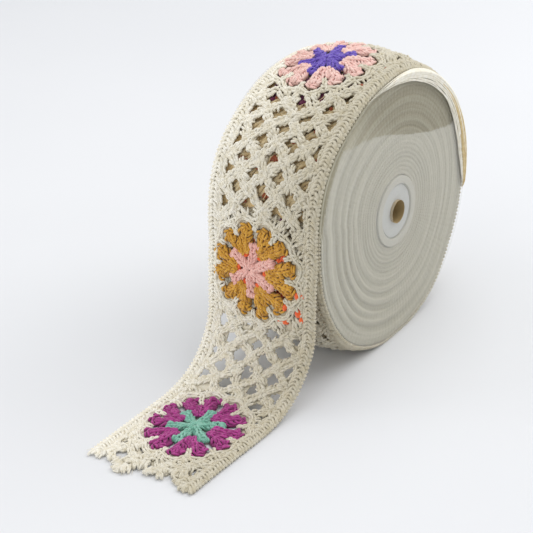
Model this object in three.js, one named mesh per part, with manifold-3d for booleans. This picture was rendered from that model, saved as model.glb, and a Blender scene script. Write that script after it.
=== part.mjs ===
// Crochet lace trim wound on a clear-sided reel, with its loose end lying out in front.
// Millimetres, +Z up. The reel's axis is X, the loose end leaves the roll towards -Y.
import * as THREE from 'three';
import { mergeVertices } from 'three/addons/utils/BufferGeometryUtils.js';
import Module from 'manifold-3d';

const wasm = await Module();
wasm.setup();

// Driving dimensions of the reel
const DISC_RADIUS = 100;
const DISC_THICKNESS = 1.0;
const DISC_OUTER_FACE = 47.1;
const BORE_RADIUS = 8.5;
const CORE_RADIUS = 26;
const CORE_STEP_RADIUS = 20.3;
const CORE_STEP_DEPTH = 1.0;
const AXIS_HEIGHT = 100.8;
const CLEARANCE = 0.3;
const DISC_INNER_FACE = DISC_OUTER_FACE - DISC_THICKNESS;
const DISC_SIDES = 72;
const CORE_SIDES = 36;
const BORE_SIDES = 24;

// Driving dimensions of the trim
const TRIM_HALF_WIDTH = 45.5;
const SHEET_THICKNESS = 2.6;
const TURN_THICKNESS = 3.0;
const MOTIF_RAISE = 0.8;
const MOTIF_ROOT = 0.6;
const MOTIF_CLEAR_RADIUS = 41;

// The net between the motifs: rows of gaps, each set half a pitch over from the last.
const NET_PITCH_ALONG = 11;
const NET_PITCH_ACROSS = 22;
const NET_ROW_AT = 57;
const NET_PLACES = { evenRow: [-1.4, -0.5, 0.5, 1.4], oddRow: [-1, 0, 1] };
const NET_GAP = { long: 9.6, wide: 11.5 };
const EDGE_GAP = { long: 8.4, wide: 7.6, from: 1.2 };
const NET_WANDER = { along: 0.5, across: 1.1 };
const NET_ON_ROLL = { openness: 0.95, sides: 6 };
const NET_ON_LOOSE_END = { openness: 1.2, sides: 8 };
const GAP_DEPTH_ON_ROLL = 2.6;
const CUT_OVER = 2;
const CUTTER_SPAN = 200;

// Distances along the trim are counted from the front of the roll, at the axis's height:
// negative up and over the roll, positive down the loose end to its cut.
const LOOSE_FROM_ANGLE = 15;
const ROLL_ARC_RADIUS = 101;
const CUT_AT = 213.5;

// The roll's outer turn is a little square and slack: its radius at the edges and how much it
// bulges in the middle, by the angle in degrees from the front, up over the top and down the back.
const ROLL_OUTLINE = [
  { angle: 0, radius: 101.8, crown: 0 },
  { angle: 33, radius: 105.8, crown: 0.8 },
  { angle: 62, radius: 101.6, crown: 0.8 },
  { angle: 82, radius: 101.0, crown: 4 },
  { angle: 106, radius: 103.0, crown: 9 },
  { angle: 126, radius: 103.6, crown: 7 },
  { angle: 150, radius: 104.2, crown: 2.5 },
  { angle: 185, radius: 103.6, crown: 1 },
  { angle: 215, radius: 102.6, crown: 1 },
  { angle: 238, radius: 105.6, crown: 1 },
  { angle: 262, radius: 104.0, crown: 2 },
  { angle: 288, radius: 103.6, crown: 7 },
  { angle: 308, radius: 103.6, crown: 6 },
  { angle: 334, radius: 102.0, crown: 1 },
];

// The under face of the loose end from where it leaves the roll: how far in front of the axis
// it hangs, and how high.
const DRAPE = [
  { forward: 101.2, height: 91 },
  { forward: 103.2, height: 76 },
  { forward: 104.8, height: 61 },
  { forward: 106.8, height: 46 },
  { forward: 111.6, height: 31.5 },
  { forward: 118.6, height: 18.6 },
  { forward: 127.6, height: 9 },
  { forward: 138.5, height: 3.6 },
  { forward: 151, height: 0.9 },
  { forward: 165, height: 0 },
  { forward: 190, height: 0 },
  { forward: 220, height: 0 },
  { forward: 250, height: 0 },
];

// Flower motifs: where each lies along and across the trim.
const LOOSE_MOTIFS = [
  { along: 150, across: -1 },
  { along: 14, across: -5 },
];
const ROLL_MOTIFS = [
  { along: -156, across: -7 },
  { along: -308, across: 3 },
  { along: -460, across: -2 },
];
const HIDDEN_MOTIF = { along: -613, across: 5 };

// One petal, as distance from the motif's centre and degrees either side of the petal's middle.
const PETAL_HALF = [
  { reach: 13, turn: 0 },
  { reach: 21, turn: 19 },
  { reach: 32, turn: 24 },
  { reach: 36, turn: 14 },
  { reach: 29, turn: 0 },
];
const MOTIF_PETALS = 6;
const PETAL_TURN = 360 / MOTIF_PETALS;
const STAR_ARM_REACH = 21;
const STAR_ARM_HALF_WIDTH = 3.4;
const STAR_VALLEY_REACH = 8;
const ARM_TIP_GAP = { reach: 25.5, long: 6, wide: 4.6, sides: 6 };

// Raised face of the trim across its width: plaited selvedges either side of the net.
const SELVEDGE_RELIEF = [
  { across: 1.0, lift: -1.2 },
  { across: 0.96, lift: 0 },
  { across: 0.895, lift: -0.8 },
  { across: 0.84, lift: 0 },
  { across: 0.79, lift: -0.4 },
];
const NET_LIFT = SELVEDGE_RELIEF.at(-1).lift;
const NET_TOP = SHEET_THICKNESS + NET_LIFT;
const NET_SEAM = 0.75 * NET_PITCH_ACROSS;

// Uneven bands of turns on the roll's sides: inner and outer size as a share of its radius.
const SIDE_BANDS = [
  { inner: 0.4, outer: 0.55, proud: 0.5 },
  { inner: 0.68, outer: 0.86, proud: 0.7 },
];
const SIDE_DEPTH = 0.9;
const SIDE_RIM_SHARE = 0.94;
const SIDE_BAND_SIDES = 30;

// Tufts left along the cut end, across the trim: how far each tip and notch falls short of it.
const CUT_TUFTS = [
  { across: -46, short: 5 },
  { across: -38, short: 5 },
  { across: -33, short: 13 },
  { across: -26, short: 14 },
  { across: -21, short: 6 },
  { across: -13, short: 0.5 },
  { across: -9, short: 3 },
  { across: -7, short: 15 },
  { across: -2, short: 10 },
  { across: 7, short: 8.5 },
  { across: 12, short: 16 },
  { across: 17, short: 15.5 },
  { across: 23, short: 12 },
  { across: 31, short: 9.5 },
  { across: 43, short: 7 },
  { across: 46, short: 12 },
];

// Where the loose end's sections lie along it: close where it bends, apart where it is straight.
const LOOSE_SECTIONS = [
  { from: -30, step: 6 },
  { from: 0, step: 11 },
  { from: 44, step: 6.2 },
  { from: 112, step: 17 },
];
const SHORTEST_SECTION = 3;

// The loose end drifts to one side and draws in a little as it lies out.
const DRIFT = { from: 50, to: 112, by: -5.5, more: -2 };
const NARROWED = { from: 100, share: 0.035 };

const degrees = THREE.MathUtils.degToRad;
const smooth = THREE.MathUtils.smoothstep;

// Turns between meshes and solids that can be joined and cut

function asSolid(geometry) {
  geometry.deleteAttribute('normal');
  geometry.deleteAttribute('uv');
  const merged = mergeVertices(geometry, 1e-4);
  return new wasm.Manifold(new wasm.Mesh({
    numProp: 3,
    vertProperties: merged.attributes.position.array,
    triVerts: merged.index.array,
  }));
}

function asGeometry(solid) {
  const mesh = solid.getMesh();
  const geometry = new THREE.BufferGeometry();
  geometry.setAttribute('position', new THREE.BufferAttribute(mesh.vertProperties, 3));
  geometry.setIndex(new THREE.BufferAttribute(mesh.triVerts, 1));
  return geometry;
}

function joined(solids) {
  return solids.reduce((whole, solid) => whole.add(solid));
}

// Carries every point of a geometry through a function of its three coordinates.
function carried(geometry, place) {
  const position = geometry.attributes.position;
  for (let i = 0; i < position.count; i += 1) {
    const point = place(position.getX(i), position.getY(i), position.getZ(i));
    position.setXYZ(i, point.x, point.y, point.z);
  }
  return geometry;
}

// Shapes of the roll and of the loose end

// A column of the roll's outline at an angle, eased between its rows.
function outlineAt(angle, column) {
  const turned = ((angle % 360) + 360) % 360;
  const rows = [...ROLL_OUTLINE, { ...ROLL_OUTLINE[0], angle: 360 }];
  const next = rows.findIndex((row) => row.angle > turned);
  const low = rows[next - 1];
  const high = rows[next];
  return THREE.MathUtils.lerp(low[column], high[column], smooth(turned, low.angle, high.angle));
}

// The roll is a spiral, so its outer face falls by one turn's thickness in each turn.
function woundRadius(angle, across) {
  const bulge = outlineAt(angle, 'crown') * (1 - (across / TRIM_HALF_WIDTH) ** 2);
  return outlineAt(angle, 'radius') + bulge - TURN_THICKNESS * (angle - LOOSE_FROM_ANGLE) / 360;
}

function aroundAxis(x, angle, radius) {
  const turn = degrees(angle);
  return new THREE.Vector3(x, -radius * Math.cos(turn), AXIS_HEIGHT + radius * Math.sin(turn));
}

// A place on the roll's outer face, by distance along and across the trim and height above it.
function onRoll(along, across, lift) {
  const angle = THREE.MathUtils.radToDeg(-along / ROLL_ARC_RADIUS);
  return aroundAxis(across, angle, woundRadius(angle, across) + lift);
}

const LOOSE_FROM = -degrees(LOOSE_FROM_ANGLE) * ROLL_ARC_RADIUS;
const LOOSE_INSET = TURN_THICKNESS - CLEARANCE - 0.2;
const LOOSE_START_ANGLES = [15, 10, 5, 0];

const loosePath = new THREE.CatmullRomCurve3([
  ...LOOSE_START_ANGLES.map((angle) => aroundAxis(0, angle, outlineAt(angle, 'radius') - LOOSE_INSET)),
  ...DRAPE.map((row) => new THREE.Vector3(0, -row.forward, row.height)),
], false, 'catmullrom', 0.5);
loosePath.arcLengthDivisions = 600;
const loosePathLength = loosePath.getLength();

function sideDrift(along) {
  const eased = smooth(along, DRIFT.from, DRIFT.to) * DRIFT.by;
  return eased + smooth(along, DRIFT.to, CUT_AT) * DRIFT.more;
}

// A place on the loose end, by distance along and across it and height above its under face.
function onLooseEnd(along, across, lift) {
  const share = THREE.MathUtils.clamp((along - LOOSE_FROM) / loosePathLength, 0, 1);
  const point = loosePath.getPointAt(share);
  const tangent = loosePath.getTangentAt(share);
  const narrowing = 1 - NARROWED.share * smooth(along, NARROWED.from, CUT_AT);
  const height = Math.max(point.z, 0) + lift * -tangent.y;
  return new THREE.Vector3(across * narrowing + sideDrift(along), point.y + lift * tangent.z, height);
}

// Outlines on the trim, with x along it and y across it

function polarPoint(centre, reach, turn) {
  const angle = degrees(turn);
  return new THREE.Vector2(
    centre.along + reach * Math.cos(angle),
    centre.across + reach * Math.sin(angle),
  );
}

function roundGap(along, across, long, wide, sides) {
  const points = [];
  for (let i = 0; i < sides; i += 1) {
    const angle = (2 * Math.PI * i) / sides;
    points.push(new THREE.Vector2(
      along + (long / 2) * Math.cos(angle),
      across + (wide / 2) * Math.sin(angle),
    ));
  }
  return new THREE.Shape(points);
}

function petalShape(centre, middle) {
  const rising = PETAL_HALF.map((row) => polarPoint(centre, row.reach, middle + row.turn));
  const falling = PETAL_HALF.slice(1, -1).reverse()
    .map((row) => polarPoint(centre, row.reach, middle - row.turn));
  return new THREE.Shape([...rising, ...falling]);
}

// The directions of a motif's star arms; its petals lie between them.
function armTurns() {
  return Array.from({ length: MOTIF_PETALS }, (_, arm) => arm * PETAL_TURN);
}

function starShape(centre) {
  const halfTurn = THREE.MathUtils.radToDeg(Math.atan(STAR_ARM_HALF_WIDTH / STAR_ARM_REACH));
  return new THREE.Shape(armTurns().flatMap((turn) => [
    polarPoint(centre, STAR_ARM_REACH, turn - halfTurn),
    polarPoint(centre, STAR_ARM_REACH, turn + halfTurn),
    polarPoint(centre, STAR_VALLEY_REACH, turn + PETAL_TURN / 2),
  ]));
}

// The petals and the star of a motif, all raised, as flat outlines.
function motifShapes(centre) {
  const petals = armTurns().map((turn) => petalShape(centre, turn + PETAL_TURN / 2));
  return [starShape(centre), ...petals];
}

// The small gaps at the arm tips of a motif.
function motifGaps(centre) {
  return armTurns().map((turn) => {
    const at = polarPoint(centre, ARM_TIP_GAP.reach, turn);
    return roundGap(at.x, at.y, ARM_TIP_GAP.long, ARM_TIP_GAP.wide, ARM_TIP_GAP.sides);
  });
}

// Numbers of the net rows that lie within a stretch of the trim.
function netRows(from, to) {
  const first = Math.ceil((from - NET_ROW_AT) / NET_PITCH_ALONG);
  const last = Math.floor((to - NET_ROW_AT) / NET_PITCH_ALONG);
  return Array.from({ length: last - first + 1 }, (_, i) => first + i);
}

// Where a net gap lies: its place in the grid, wandering a little from one gap to the next.
function netPoint(row, place) {
  const along = NET_ROW_AT + row * NET_PITCH_ALONG;
  const across = NET_PITCH_ACROSS * place;
  return {
    along: along + NET_WANDER.along * Math.sin(row * 2.1 + place * 3.7),
    across: across + NET_WANDER.across * Math.sin(row * 1.3 + place * 5.1),
  };
}

// The net gaps of a stretch of the trim, kept clear of the motifs.
function netGaps(from, to, motifs, { openness, sides }) {
  const shapes = [];
  for (const row of netRows(from, to)) {
    for (const place of row % 2 === 0 ? NET_PLACES.evenRow : NET_PLACES.oddRow) {
      const { along, across } = netPoint(row, place);
      const clear = motifs.every(
        (motif) => Math.hypot(along - motif.along, across - motif.across) > MOTIF_CLEAR_RADIUS,
      );
      const gap = Math.abs(place) > EDGE_GAP.from ? EDGE_GAP : NET_GAP;
      if (clear) {
        shapes.push(roundGap(along, across, gap.long * openness, gap.wide * openness, sides));
      }
    }
  }
  return shapes;
}

// A flat outline on the trim, given thickness and bent onto the roll or the loose end.
function bent(shape, low, high, place) {
  const geometry = new THREE.ExtrudeGeometry(shape, { depth: high - low, bevelEnabled: false });
  geometry.translate(0, 0, low);
  return asSolid(carried(geometry, place));
}

// Pieces of the reel

// Turns a shape drawn in the Y-Z plane into a plate along X.
function plateAlongX(shape, oneFace, otherFace) {
  const low = Math.min(oneFace, otherFace);
  const depth = Math.abs(otherFace - oneFace);
  const geometry = new THREE.ExtrudeGeometry(shape, { depth, bevelEnabled: false });
  return carried(geometry, (y, z, height) => new THREE.Vector3(low + height, y, z));
}

function roundOutline(radius, sides) {
  return roundGap(0, AXIS_HEIGHT, 2 * radius, 2 * radius, sides).getPoints();
}

function discGeometry(side) {
  const shape = new THREE.Shape(roundOutline(DISC_RADIUS, DISC_SIDES));
  shape.holes.push(new THREE.Path(roundOutline(BORE_RADIUS, BORE_SIDES)));
  return plateAlongX(shape, side * DISC_INNER_FACE, side * DISC_OUTER_FACE);
}

function coreGeometry() {
  const end = DISC_INNER_FACE - CLEARANCE;
  const recess = end - CORE_STEP_DEPTH;
  const profile = [
    new THREE.Vector2(BORE_RADIUS, -recess),
    new THREE.Vector2(CORE_STEP_RADIUS, -recess),
    new THREE.Vector2(CORE_STEP_RADIUS, -end),
    new THREE.Vector2(CORE_RADIUS, -end),
    new THREE.Vector2(CORE_RADIUS, end),
    new THREE.Vector2(CORE_STEP_RADIUS, end),
    new THREE.Vector2(CORE_STEP_RADIUS, recess),
    new THREE.Vector2(BORE_RADIUS, recess),
    new THREE.Vector2(BORE_RADIUS, -recess),
  ];
  const geometry = new THREE.LatheGeometry(profile, CORE_SIDES);
  return carried(geometry, (x, y, z) => new THREE.Vector3(y, z, x + AXIS_HEIGHT));
}

// The wound trim

const ROLL_END = LOOSE_FROM - 2 * Math.PI * ROLL_ARC_RADIUS;

// The corners of the roll's outline along the trim, one between each two rows of the net.
function rollCorners() {
  const between = netRows(ROLL_END + 2, LOOSE_FROM - 9)
    .map((row) => NET_ROW_AT + (row + 0.5) * NET_PITCH_ALONG);
  return [LOOSE_FROM, ...between.reverse(), ROLL_END];
}

// The outline of an inner turn, as a share of the outer one's size.
function turnOutline(share) {
  return Array.from({ length: SIDE_BAND_SIDES }, (_, i) => {
    const angle = (360 * i) / SIDE_BAND_SIDES;
    const point = aroundAxis(0, angle, outlineAt(angle, 'radius') * share);
    return new THREE.Vector2(point.y, point.z);
  });
}

// Sections of the roll from one side to the other: place across and height of its outer face.
function rollSections() {
  const half = SELVEDGE_RELIEF.map((row) => ({ across: row.across * TRIM_HALF_WIDTH, lift: row.lift }));
  const net = [-1, 1].map((side) => ({ across: side * NET_SEAM, lift: NET_LIFT }));
  return [...half.map((row) => ({ across: -row.across, lift: row.lift })), ...net, ...half.reverse()];
}

// The roll's side is drawn once and carried across, each of its corners keeping its place along.
function rollBody() {
  const sections = rollSections();
  const steps = sections.length - 1;
  const corners = rollCorners().map((along) => ({ along, at: onRoll(along, TRIM_HALF_WIDTH, 0) }));
  const shape = new THREE.Shape(corners.map((corner) => new THREE.Vector2(corner.at.y, corner.at.z)));
  const geometry = new THREE.ExtrudeGeometry(shape, { depth: steps, steps, bevelEnabled: false });
  return asSolid(carried(geometry, (y, z, depth) => {
    const { along } = corners.find((corner) => Math.hypot(y - corner.at.y, z - corner.at.z) < 1e-3);
    const section = sections[Math.round(depth)];
    return onRoll(along, section.across, section.lift);
  }));
}

function sideBand(band, side) {
  const shape = new THREE.Shape(turnOutline(band.outer));
  shape.holes.push(new THREE.Path(turnOutline(band.inner).reverse()));
  const foot = TRIM_HALF_WIDTH - SIDE_DEPTH;
  return asSolid(plateAlongX(shape, side * (foot - SIDE_DEPTH), side * (foot + band.proud)));
}

// Takes the roll's sides back to the depth that its bands stand out from.
function sideRecess(side) {
  const shape = new THREE.Shape(turnOutline(SIDE_RIM_SHARE));
  const foot = TRIM_HALF_WIDTH - SIDE_DEPTH;
  return asSolid(plateAlongX(shape, side * foot, side * (TRIM_HALF_WIDTH + CUT_OVER)));
}

function rollBore() {
  const shape = new THREE.Shape(roundOutline(CORE_RADIUS + CLEARANCE, CORE_SIDES));
  return asSolid(plateAlongX(shape, -CUTTER_SPAN / 2, CUTTER_SPAN / 2));
}

// Everything below the table, so that the roll rests on a flat spot.
function belowTable() {
  const block = new THREE.BoxGeometry(CUTTER_SPAN, CUTTER_SPAN, CUTTER_SPAN);
  return asSolid(block.translate(0, 0, -CUTTER_SPAN / 2));
}

function woundTrim() {
  const motifs = [...ROLL_MOTIFS, HIDDEN_MOTIF];
  const raised = ROLL_MOTIFS.flatMap(motifShapes)
    .map((shape) => bent(shape, NET_LIFT - MOTIF_ROOT, NET_LIFT + MOTIF_RAISE, onRoll));
  const inset = NET_PITCH_ALONG / 2;
  const gaps = [
    ...motifs.flatMap(motifGaps),
    ...netGaps(ROLL_END + inset, LOOSE_FROM - inset, [...motifs, ...LOOSE_MOTIFS], NET_ON_ROLL),
  ].map((shape) => bent(shape, -GAP_DEPTH_ON_ROLL, CUT_OVER, onRoll));
  const bands = [-1, 1].flatMap((side) => SIDE_BANDS.map((band) => sideBand(band, side)));
  let roll = rollBody().subtract(joined([sideRecess(-1), sideRecess(1)]));
  roll = joined([roll, ...bands, ...raised]);
  return asGeometry(roll.subtract(joined([rollBore(), belowTable(), ...gaps])));
}

// The loose end

function looseSections() {
  const places = [LOOSE_FROM];
  while (CUT_AT - places.at(-1) > SHORTEST_SECTION) {
    const here = places.at(-1);
    const stretch = LOOSE_SECTIONS.findLast((row) => row.from <= here);
    places.push(Math.min(here + stretch.step, CUT_AT));
  }
  return places;
}

function looseSheet() {
  const top = SELVEDGE_RELIEF.map(
    (row) => new THREE.Vector2(row.across * TRIM_HALF_WIDTH, SHEET_THICKNESS + row.lift),
  );
  const otherTop = top.map((point) => new THREE.Vector2(-point.x, point.y)).reverse();
  const shape = new THREE.Shape([
    new THREE.Vector2(-TRIM_HALF_WIDTH, 0),
    new THREE.Vector2(TRIM_HALF_WIDTH, 0),
    ...top,
    ...otherTop,
  ]);
  const places = looseSections();
  const steps = places.length - 1;
  const geometry = new THREE.ExtrudeGeometry(shape, { depth: steps, steps, bevelEnabled: false });
  return asSolid(carried(
    geometry,
    (across, lift, depth) => onLooseEnd(places[Math.round(depth)], across, lift),
  ));
}

// What is cut away beyond the ragged end.
function cutAway() {
  const beyond = CUT_AT + CUT_OVER;
  const shape = new THREE.Shape([
    ...CUT_TUFTS.map((row) => new THREE.Vector2(CUT_AT - row.short, row.across)),
    new THREE.Vector2(beyond, CUT_TUFTS.at(-1).across),
    new THREE.Vector2(beyond, CUT_TUFTS[0].across),
  ]);
  return bent(shape, -CUT_OVER, SHEET_THICKNESS + CUT_OVER, (along, across, lift) => {
    const end = onLooseEnd(Math.min(along, CUT_AT), across, lift);
    end.y -= Math.max(along - CUT_AT, 0);
    return end;
  });
}

function looseEnd() {
  const raised = LOOSE_MOTIFS.flatMap(motifShapes)
    .map((shape) => bent(shape, NET_TOP - MOTIF_ROOT, NET_TOP + MOTIF_RAISE, onLooseEnd));
  const gaps = [
    ...LOOSE_MOTIFS.flatMap(motifGaps),
    ...netGaps(LOOSE_FROM, CUT_AT - NET_PITCH_ALONG, LOOSE_MOTIFS, NET_ON_LOOSE_END),
  ].map((shape) => bent(shape, -CUT_OVER, SHEET_THICKNESS + CUT_OVER, onLooseEnd));
  const sheet = joined([looseSheet(), ...raised]);
  return asGeometry(sheet.subtract(joined([cutAway(), ...gaps])));
}

// The whole part

function cloth(colour) {
  return new THREE.MeshStandardMaterial({ color: colour, roughness: 0.95, metalness: 0 });
}

function plastic(colour, opacity) {
  return new THREE.MeshStandardMaterial({
    color: colour,
    roughness: 0.15,
    metalness: 0,
    transparent: opacity < 1,
    opacity,
  });
}

const part = new THREE.Group();

function addPiece(name, geometry, material) {
  const mesh = new THREE.Mesh(geometry, material);
  mesh.name = name;
  part.add(mesh);
}

addPiece('wound_trim', woundTrim(), cloth(0xe1dccd));
addPiece('loose_end', looseEnd(), cloth(0xe1dccd));
addPiece('reel_core', coreGeometry(), plastic(0xe6e8ea, 1));
addPiece('near_disc', discGeometry(1), plastic(0xf2f5f7, 0.35));
addPiece('far_disc', discGeometry(-1), plastic(0xf2f5f7, 0.35));

// The origin is at the middle of the base
const box = new THREE.Box3().setFromObject(part);
part.position.set(-(box.min.x + box.max.x) / 2, -(box.min.y + box.max.y) / 2, -box.min.z);

export default part;
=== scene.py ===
"""Dresses a crochet lace trim wound on a clear-sided reel, with its loose end lying out in front.

Every piece of the trim is drawn flat, as places (along, across, height) in millimetres on the
trim, and then carried onto the roll and the loose end by the route that the trim takes.
"""

import sys

import logging
import math
from dataclasses import dataclass, field
from enum import Enum
from functools import cached_property

import bpy
import numpy as np
from mathutils import Matrix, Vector
from numpy.typing import NDArray


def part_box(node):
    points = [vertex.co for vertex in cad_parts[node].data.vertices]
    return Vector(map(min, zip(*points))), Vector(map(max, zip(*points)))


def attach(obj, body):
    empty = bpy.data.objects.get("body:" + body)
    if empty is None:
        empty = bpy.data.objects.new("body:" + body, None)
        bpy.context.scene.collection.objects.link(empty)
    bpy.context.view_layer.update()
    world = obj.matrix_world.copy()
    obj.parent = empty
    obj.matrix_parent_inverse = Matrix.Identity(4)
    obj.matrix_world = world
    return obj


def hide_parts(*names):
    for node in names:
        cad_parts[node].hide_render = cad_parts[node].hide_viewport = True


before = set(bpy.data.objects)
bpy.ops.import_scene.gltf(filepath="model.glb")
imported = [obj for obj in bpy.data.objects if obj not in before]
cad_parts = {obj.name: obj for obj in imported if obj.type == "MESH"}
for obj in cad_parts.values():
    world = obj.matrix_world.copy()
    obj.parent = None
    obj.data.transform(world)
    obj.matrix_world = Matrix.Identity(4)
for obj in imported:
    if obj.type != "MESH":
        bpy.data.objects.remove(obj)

Array = NDArray[np.float64]
Indices = NDArray[np.int64]
Mask = NDArray[np.bool_]
Colour = tuple[float, float, float]

MM = 0.001
BODY = "root"
SEED = 7
LOG = logging.getLogger("trim")


def linear(red: int, green: int, blue: int) -> Colour:
    """Turns an 8-bit sRGB colour into the linear one that a shader takes.

    Args:
        red: Red, 0 to 255.
        green: Green, 0 to 255.
        blue: Blue, 0 to 255.

    Returns:
        The linear colour: the 2.4 power of the offset share above the toe, a straight line below.
    """
    shares = (channel / 255 for channel in (red, green, blue))
    return tuple(s / 12.92 if s <= 0.04045 else ((s + 0.055) / 1.055) ** 2.4 for s in shares)


def eased(value: Array, low: float, high: float) -> Array:
    """Rises smoothly from 0 at low to 1 at high.

    Args:
        value: Where to read the curve.
        low: Where it starts to rise.
        high: Where it is full.

    Returns:
        3 t^2 - 2 t^3 of the share t of the way from low to high.
    """
    share = np.clip((value - low) / (high - low), 0, 1)
    return share**2 * (3 - 2 * share)


def ringed(rows: int, columns: int) -> Indices:
    """Joins a grid of points that closes on itself both ways.

    Args:
        rows: Its rows.
        columns: Its columns.

    Returns:
        Indices of the corners of each face: a point, the next in its row, and the two below.
    """
    index = np.arange(rows * columns).reshape(rows, columns)
    below, right = np.roll(index, -1, axis=0), np.roll(index, -1, axis=1)
    return np.stack([index, right, np.roll(below, -1, axis=1), below], axis=-1).reshape(-1, 4)


@dataclass(frozen=True)
class TrimRoute:
    """The way the trim takes: round the roll, down its front and out over the table.

    Along is counted in millimetres from the front of the roll at its axis's height, negative up
    and over the roll, positive down the loose end. Across is from the trim's middle, towards the
    near disc. Height is above the trim's under face.
    """

    arc_radius: float = 101.0
    half_width: float = 45.5
    thickness: float = 2.6
    turn: float = 3.0
    leaves_at: float = 15.0
    inset: float = 2.5
    cut_at: float = 213.5
    disc_face: float = 47.1
    drift: tuple[float, float, float, float] = (50.0, 112.0, -5.5, -2.0)
    narrowed: tuple[float, float] = (100.0, 0.035)
    outline: tuple[tuple[float, float, float], ...] = (
        # angle from the front, radius at the edges, bulge in the middle
        (0, 101.8, 0),
        (33, 105.8, 0.8),
        (62, 101.6, 0.8),
        (82, 101.0, 4),
        (106, 103.0, 9),
        (126, 103.6, 7),
        (150, 104.2, 2.5),
        (185, 103.6, 1),
        (215, 102.6, 1),
        (238, 105.6, 1),
        (262, 104.0, 2),
        (288, 103.6, 7),
        (308, 103.6, 6),
        (334, 102.0, 1),
        (360, 101.8, 0),
    )
    drape: tuple[tuple[float, float], ...] = (
        # how far in front of the axis, how high
        (101.2, 91),
        (103.2, 76),
        (104.8, 61),
        (106.8, 46),
        (111.6, 31.5),
        (118.6, 18.6),
        (127.6, 9),
        (138.5, 3.6),
        (151, 0.9),
        (165, 0),
        (190, 0),
        (220, 0),
        (250, 0),
    )

    @property
    def loose_from(self) -> float:
        """Gives the place along the trim where it leaves the roll."""
        return -math.radians(self.leaves_at) * self.arc_radius

    @property
    def roll_end(self) -> float:
        """Gives the place along the trim where its outer turn is whole."""
        return self.loose_from - 2 * math.pi * self.arc_radius

    @cached_property
    def axle(self) -> Array:
        """Works out the middle of the reel from the near disc.

        Returns:
            The point in the row frame, in millimetres.
        """
        low, high = (np.array(corner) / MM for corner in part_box("near_disc"))
        middle = (low + high) / 2
        return np.array([high[0] - self.disc_face, middle[1], middle[2]])

    def outline_at(self, angle: Array) -> tuple[Array, Array]:
        """Reads the roll's outline, eased between the rows of its table.

        Args:
            angle: Angles from the front, up over the top, in degrees.

        Returns:
            The radius at the roll's edges and the bulge in its middle.
        """
        rows = np.array(self.outline, float)
        turned = np.mod(angle, 360)
        after = np.clip(np.searchsorted(rows[:, 0], turned, side="right"), 1, len(rows) - 1)
        low, high = rows[after - 1], rows[after]
        share = eased(turned, low[..., 0], high[..., 0])
        return tuple(low[..., i] + (high[..., i] - low[..., i]) * share for i in (1, 2))

    def wound_radius(self, angle: Array, across: Array) -> Array:
        """Gives the radius of the roll's outer face, which falls by a turn's thickness in each turn.

        Args:
            angle: Angles from the front, in degrees.
            across: Places across the trim.

        Returns:
            Radius at the edges, plus the bulge times 1 - (across / half width)^2, less the spiral.
        """
        radius, crown = self.outline_at(angle)
        spiral = self.turn * (angle - self.leaves_at) / 360
        return radius + crown * (1 - (across / self.half_width) ** 2) - spiral

    def on_roll(self, along: Array, across: Array, height: Array) -> Array:
        """Carries places on the trim onto the roll, and lifts what would sink into the table.

        Args:
            along: Places along the trim.
            across: Places across it.
            height: Heights above its under face.

        Returns:
            Points round the axle, in millimetres: x = across, and y and z by the cosine and sine of
            the angle times the radius.
        """
        turn = -along / self.arc_radius
        radius = self.wound_radius(np.degrees(turn), across)
        lifted = radius + height - self.thickness
        sunk = np.maximum(-(self.axle[2] + radius * np.sin(turn)), 0)
        z = np.maximum(lifted * np.sin(turn) + sunk, -self.axle[2])
        return np.stack([across, -lifted * np.cos(turn), z], axis=-1)

    @cached_property
    def loose_line(self) -> tuple[Array, Array, Array]:
        """Works out the line of the loose end's under face.

        Returns:
            Distances along the trim, points (forward, height over the table) and unit tangents, on
            the Catmull-Rom curve through the last of the roll and the rows of the drape.
        """
        start = np.radians([self.leaves_at, 10, 5, 0])
        radius = self.outline_at(np.degrees(start))[0] - self.inset
        wound = np.stack([radius * np.cos(start), self.axle[2] + radius * np.sin(start)], axis=-1)
        knots = np.concatenate([wound, np.array(self.drape, float)])
        ends = np.stack([2 * knots[0] - knots[1], 2 * knots[-1] - knots[-2]])
        knots = np.concatenate([ends[:1], knots, ends[1:]])
        before, here, there, after = knots[:-3], knots[1:-2], knots[2:-1], knots[3:]
        t = np.linspace(0, 1, 60, endpoint=False)[None, :, None]
        leave, arrive = (there - before) / 2, (after - here) / 2
        here, there, leave, arrive = (k[:, None] for k in (here, there, leave, arrive))
        curve = (
            (2 * t**3 - 3 * t**2 + 1) * here
            + (t**3 - 2 * t**2 + t) * leave
            + (3 * t**2 - 2 * t**3) * there
            + (t**3 - t**2) * arrive
        ).reshape(-1, 2)
        step = np.diff(curve, axis=0)
        along = self.loose_from + np.concatenate([[0], np.cumsum(np.hypot(*step.T))])
        tangent = np.gradient(curve, axis=0)
        tangent /= np.linalg.norm(tangent, axis=1, keepdims=True)
        return along, curve, tangent

    def on_loose_end(self, along: Array, across: Array, height: Array) -> Array:
        """Carries places on the trim onto the loose end.

        Args:
            along: Places along the trim.
            across: Places across it.
            height: Heights above its under face.

        Returns:
            Points round the axle, in millimetres: the under face's line, moved out along its normal
            by the height, with across narrowed and drifting to one side.
        """
        stations, curve, tangent = self.loose_line
        forward, up, ahead, rising = (
            np.interp(along, stations, column) for column in (*curve.T, *tangent.T)
        )
        start, full, by, more = self.drift
        narrow_from, share = self.narrowed
        drift = by * eased(along, start, full) + more * eased(along, full, self.cut_at)
        narrowing = 1 - share * eased(along, narrow_from, self.cut_at)
        y = -forward + height * rising
        z = np.maximum(up, 0) + height * ahead - self.axle[2]
        return np.stack([across * narrowing + drift, y, z], axis=-1)

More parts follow.
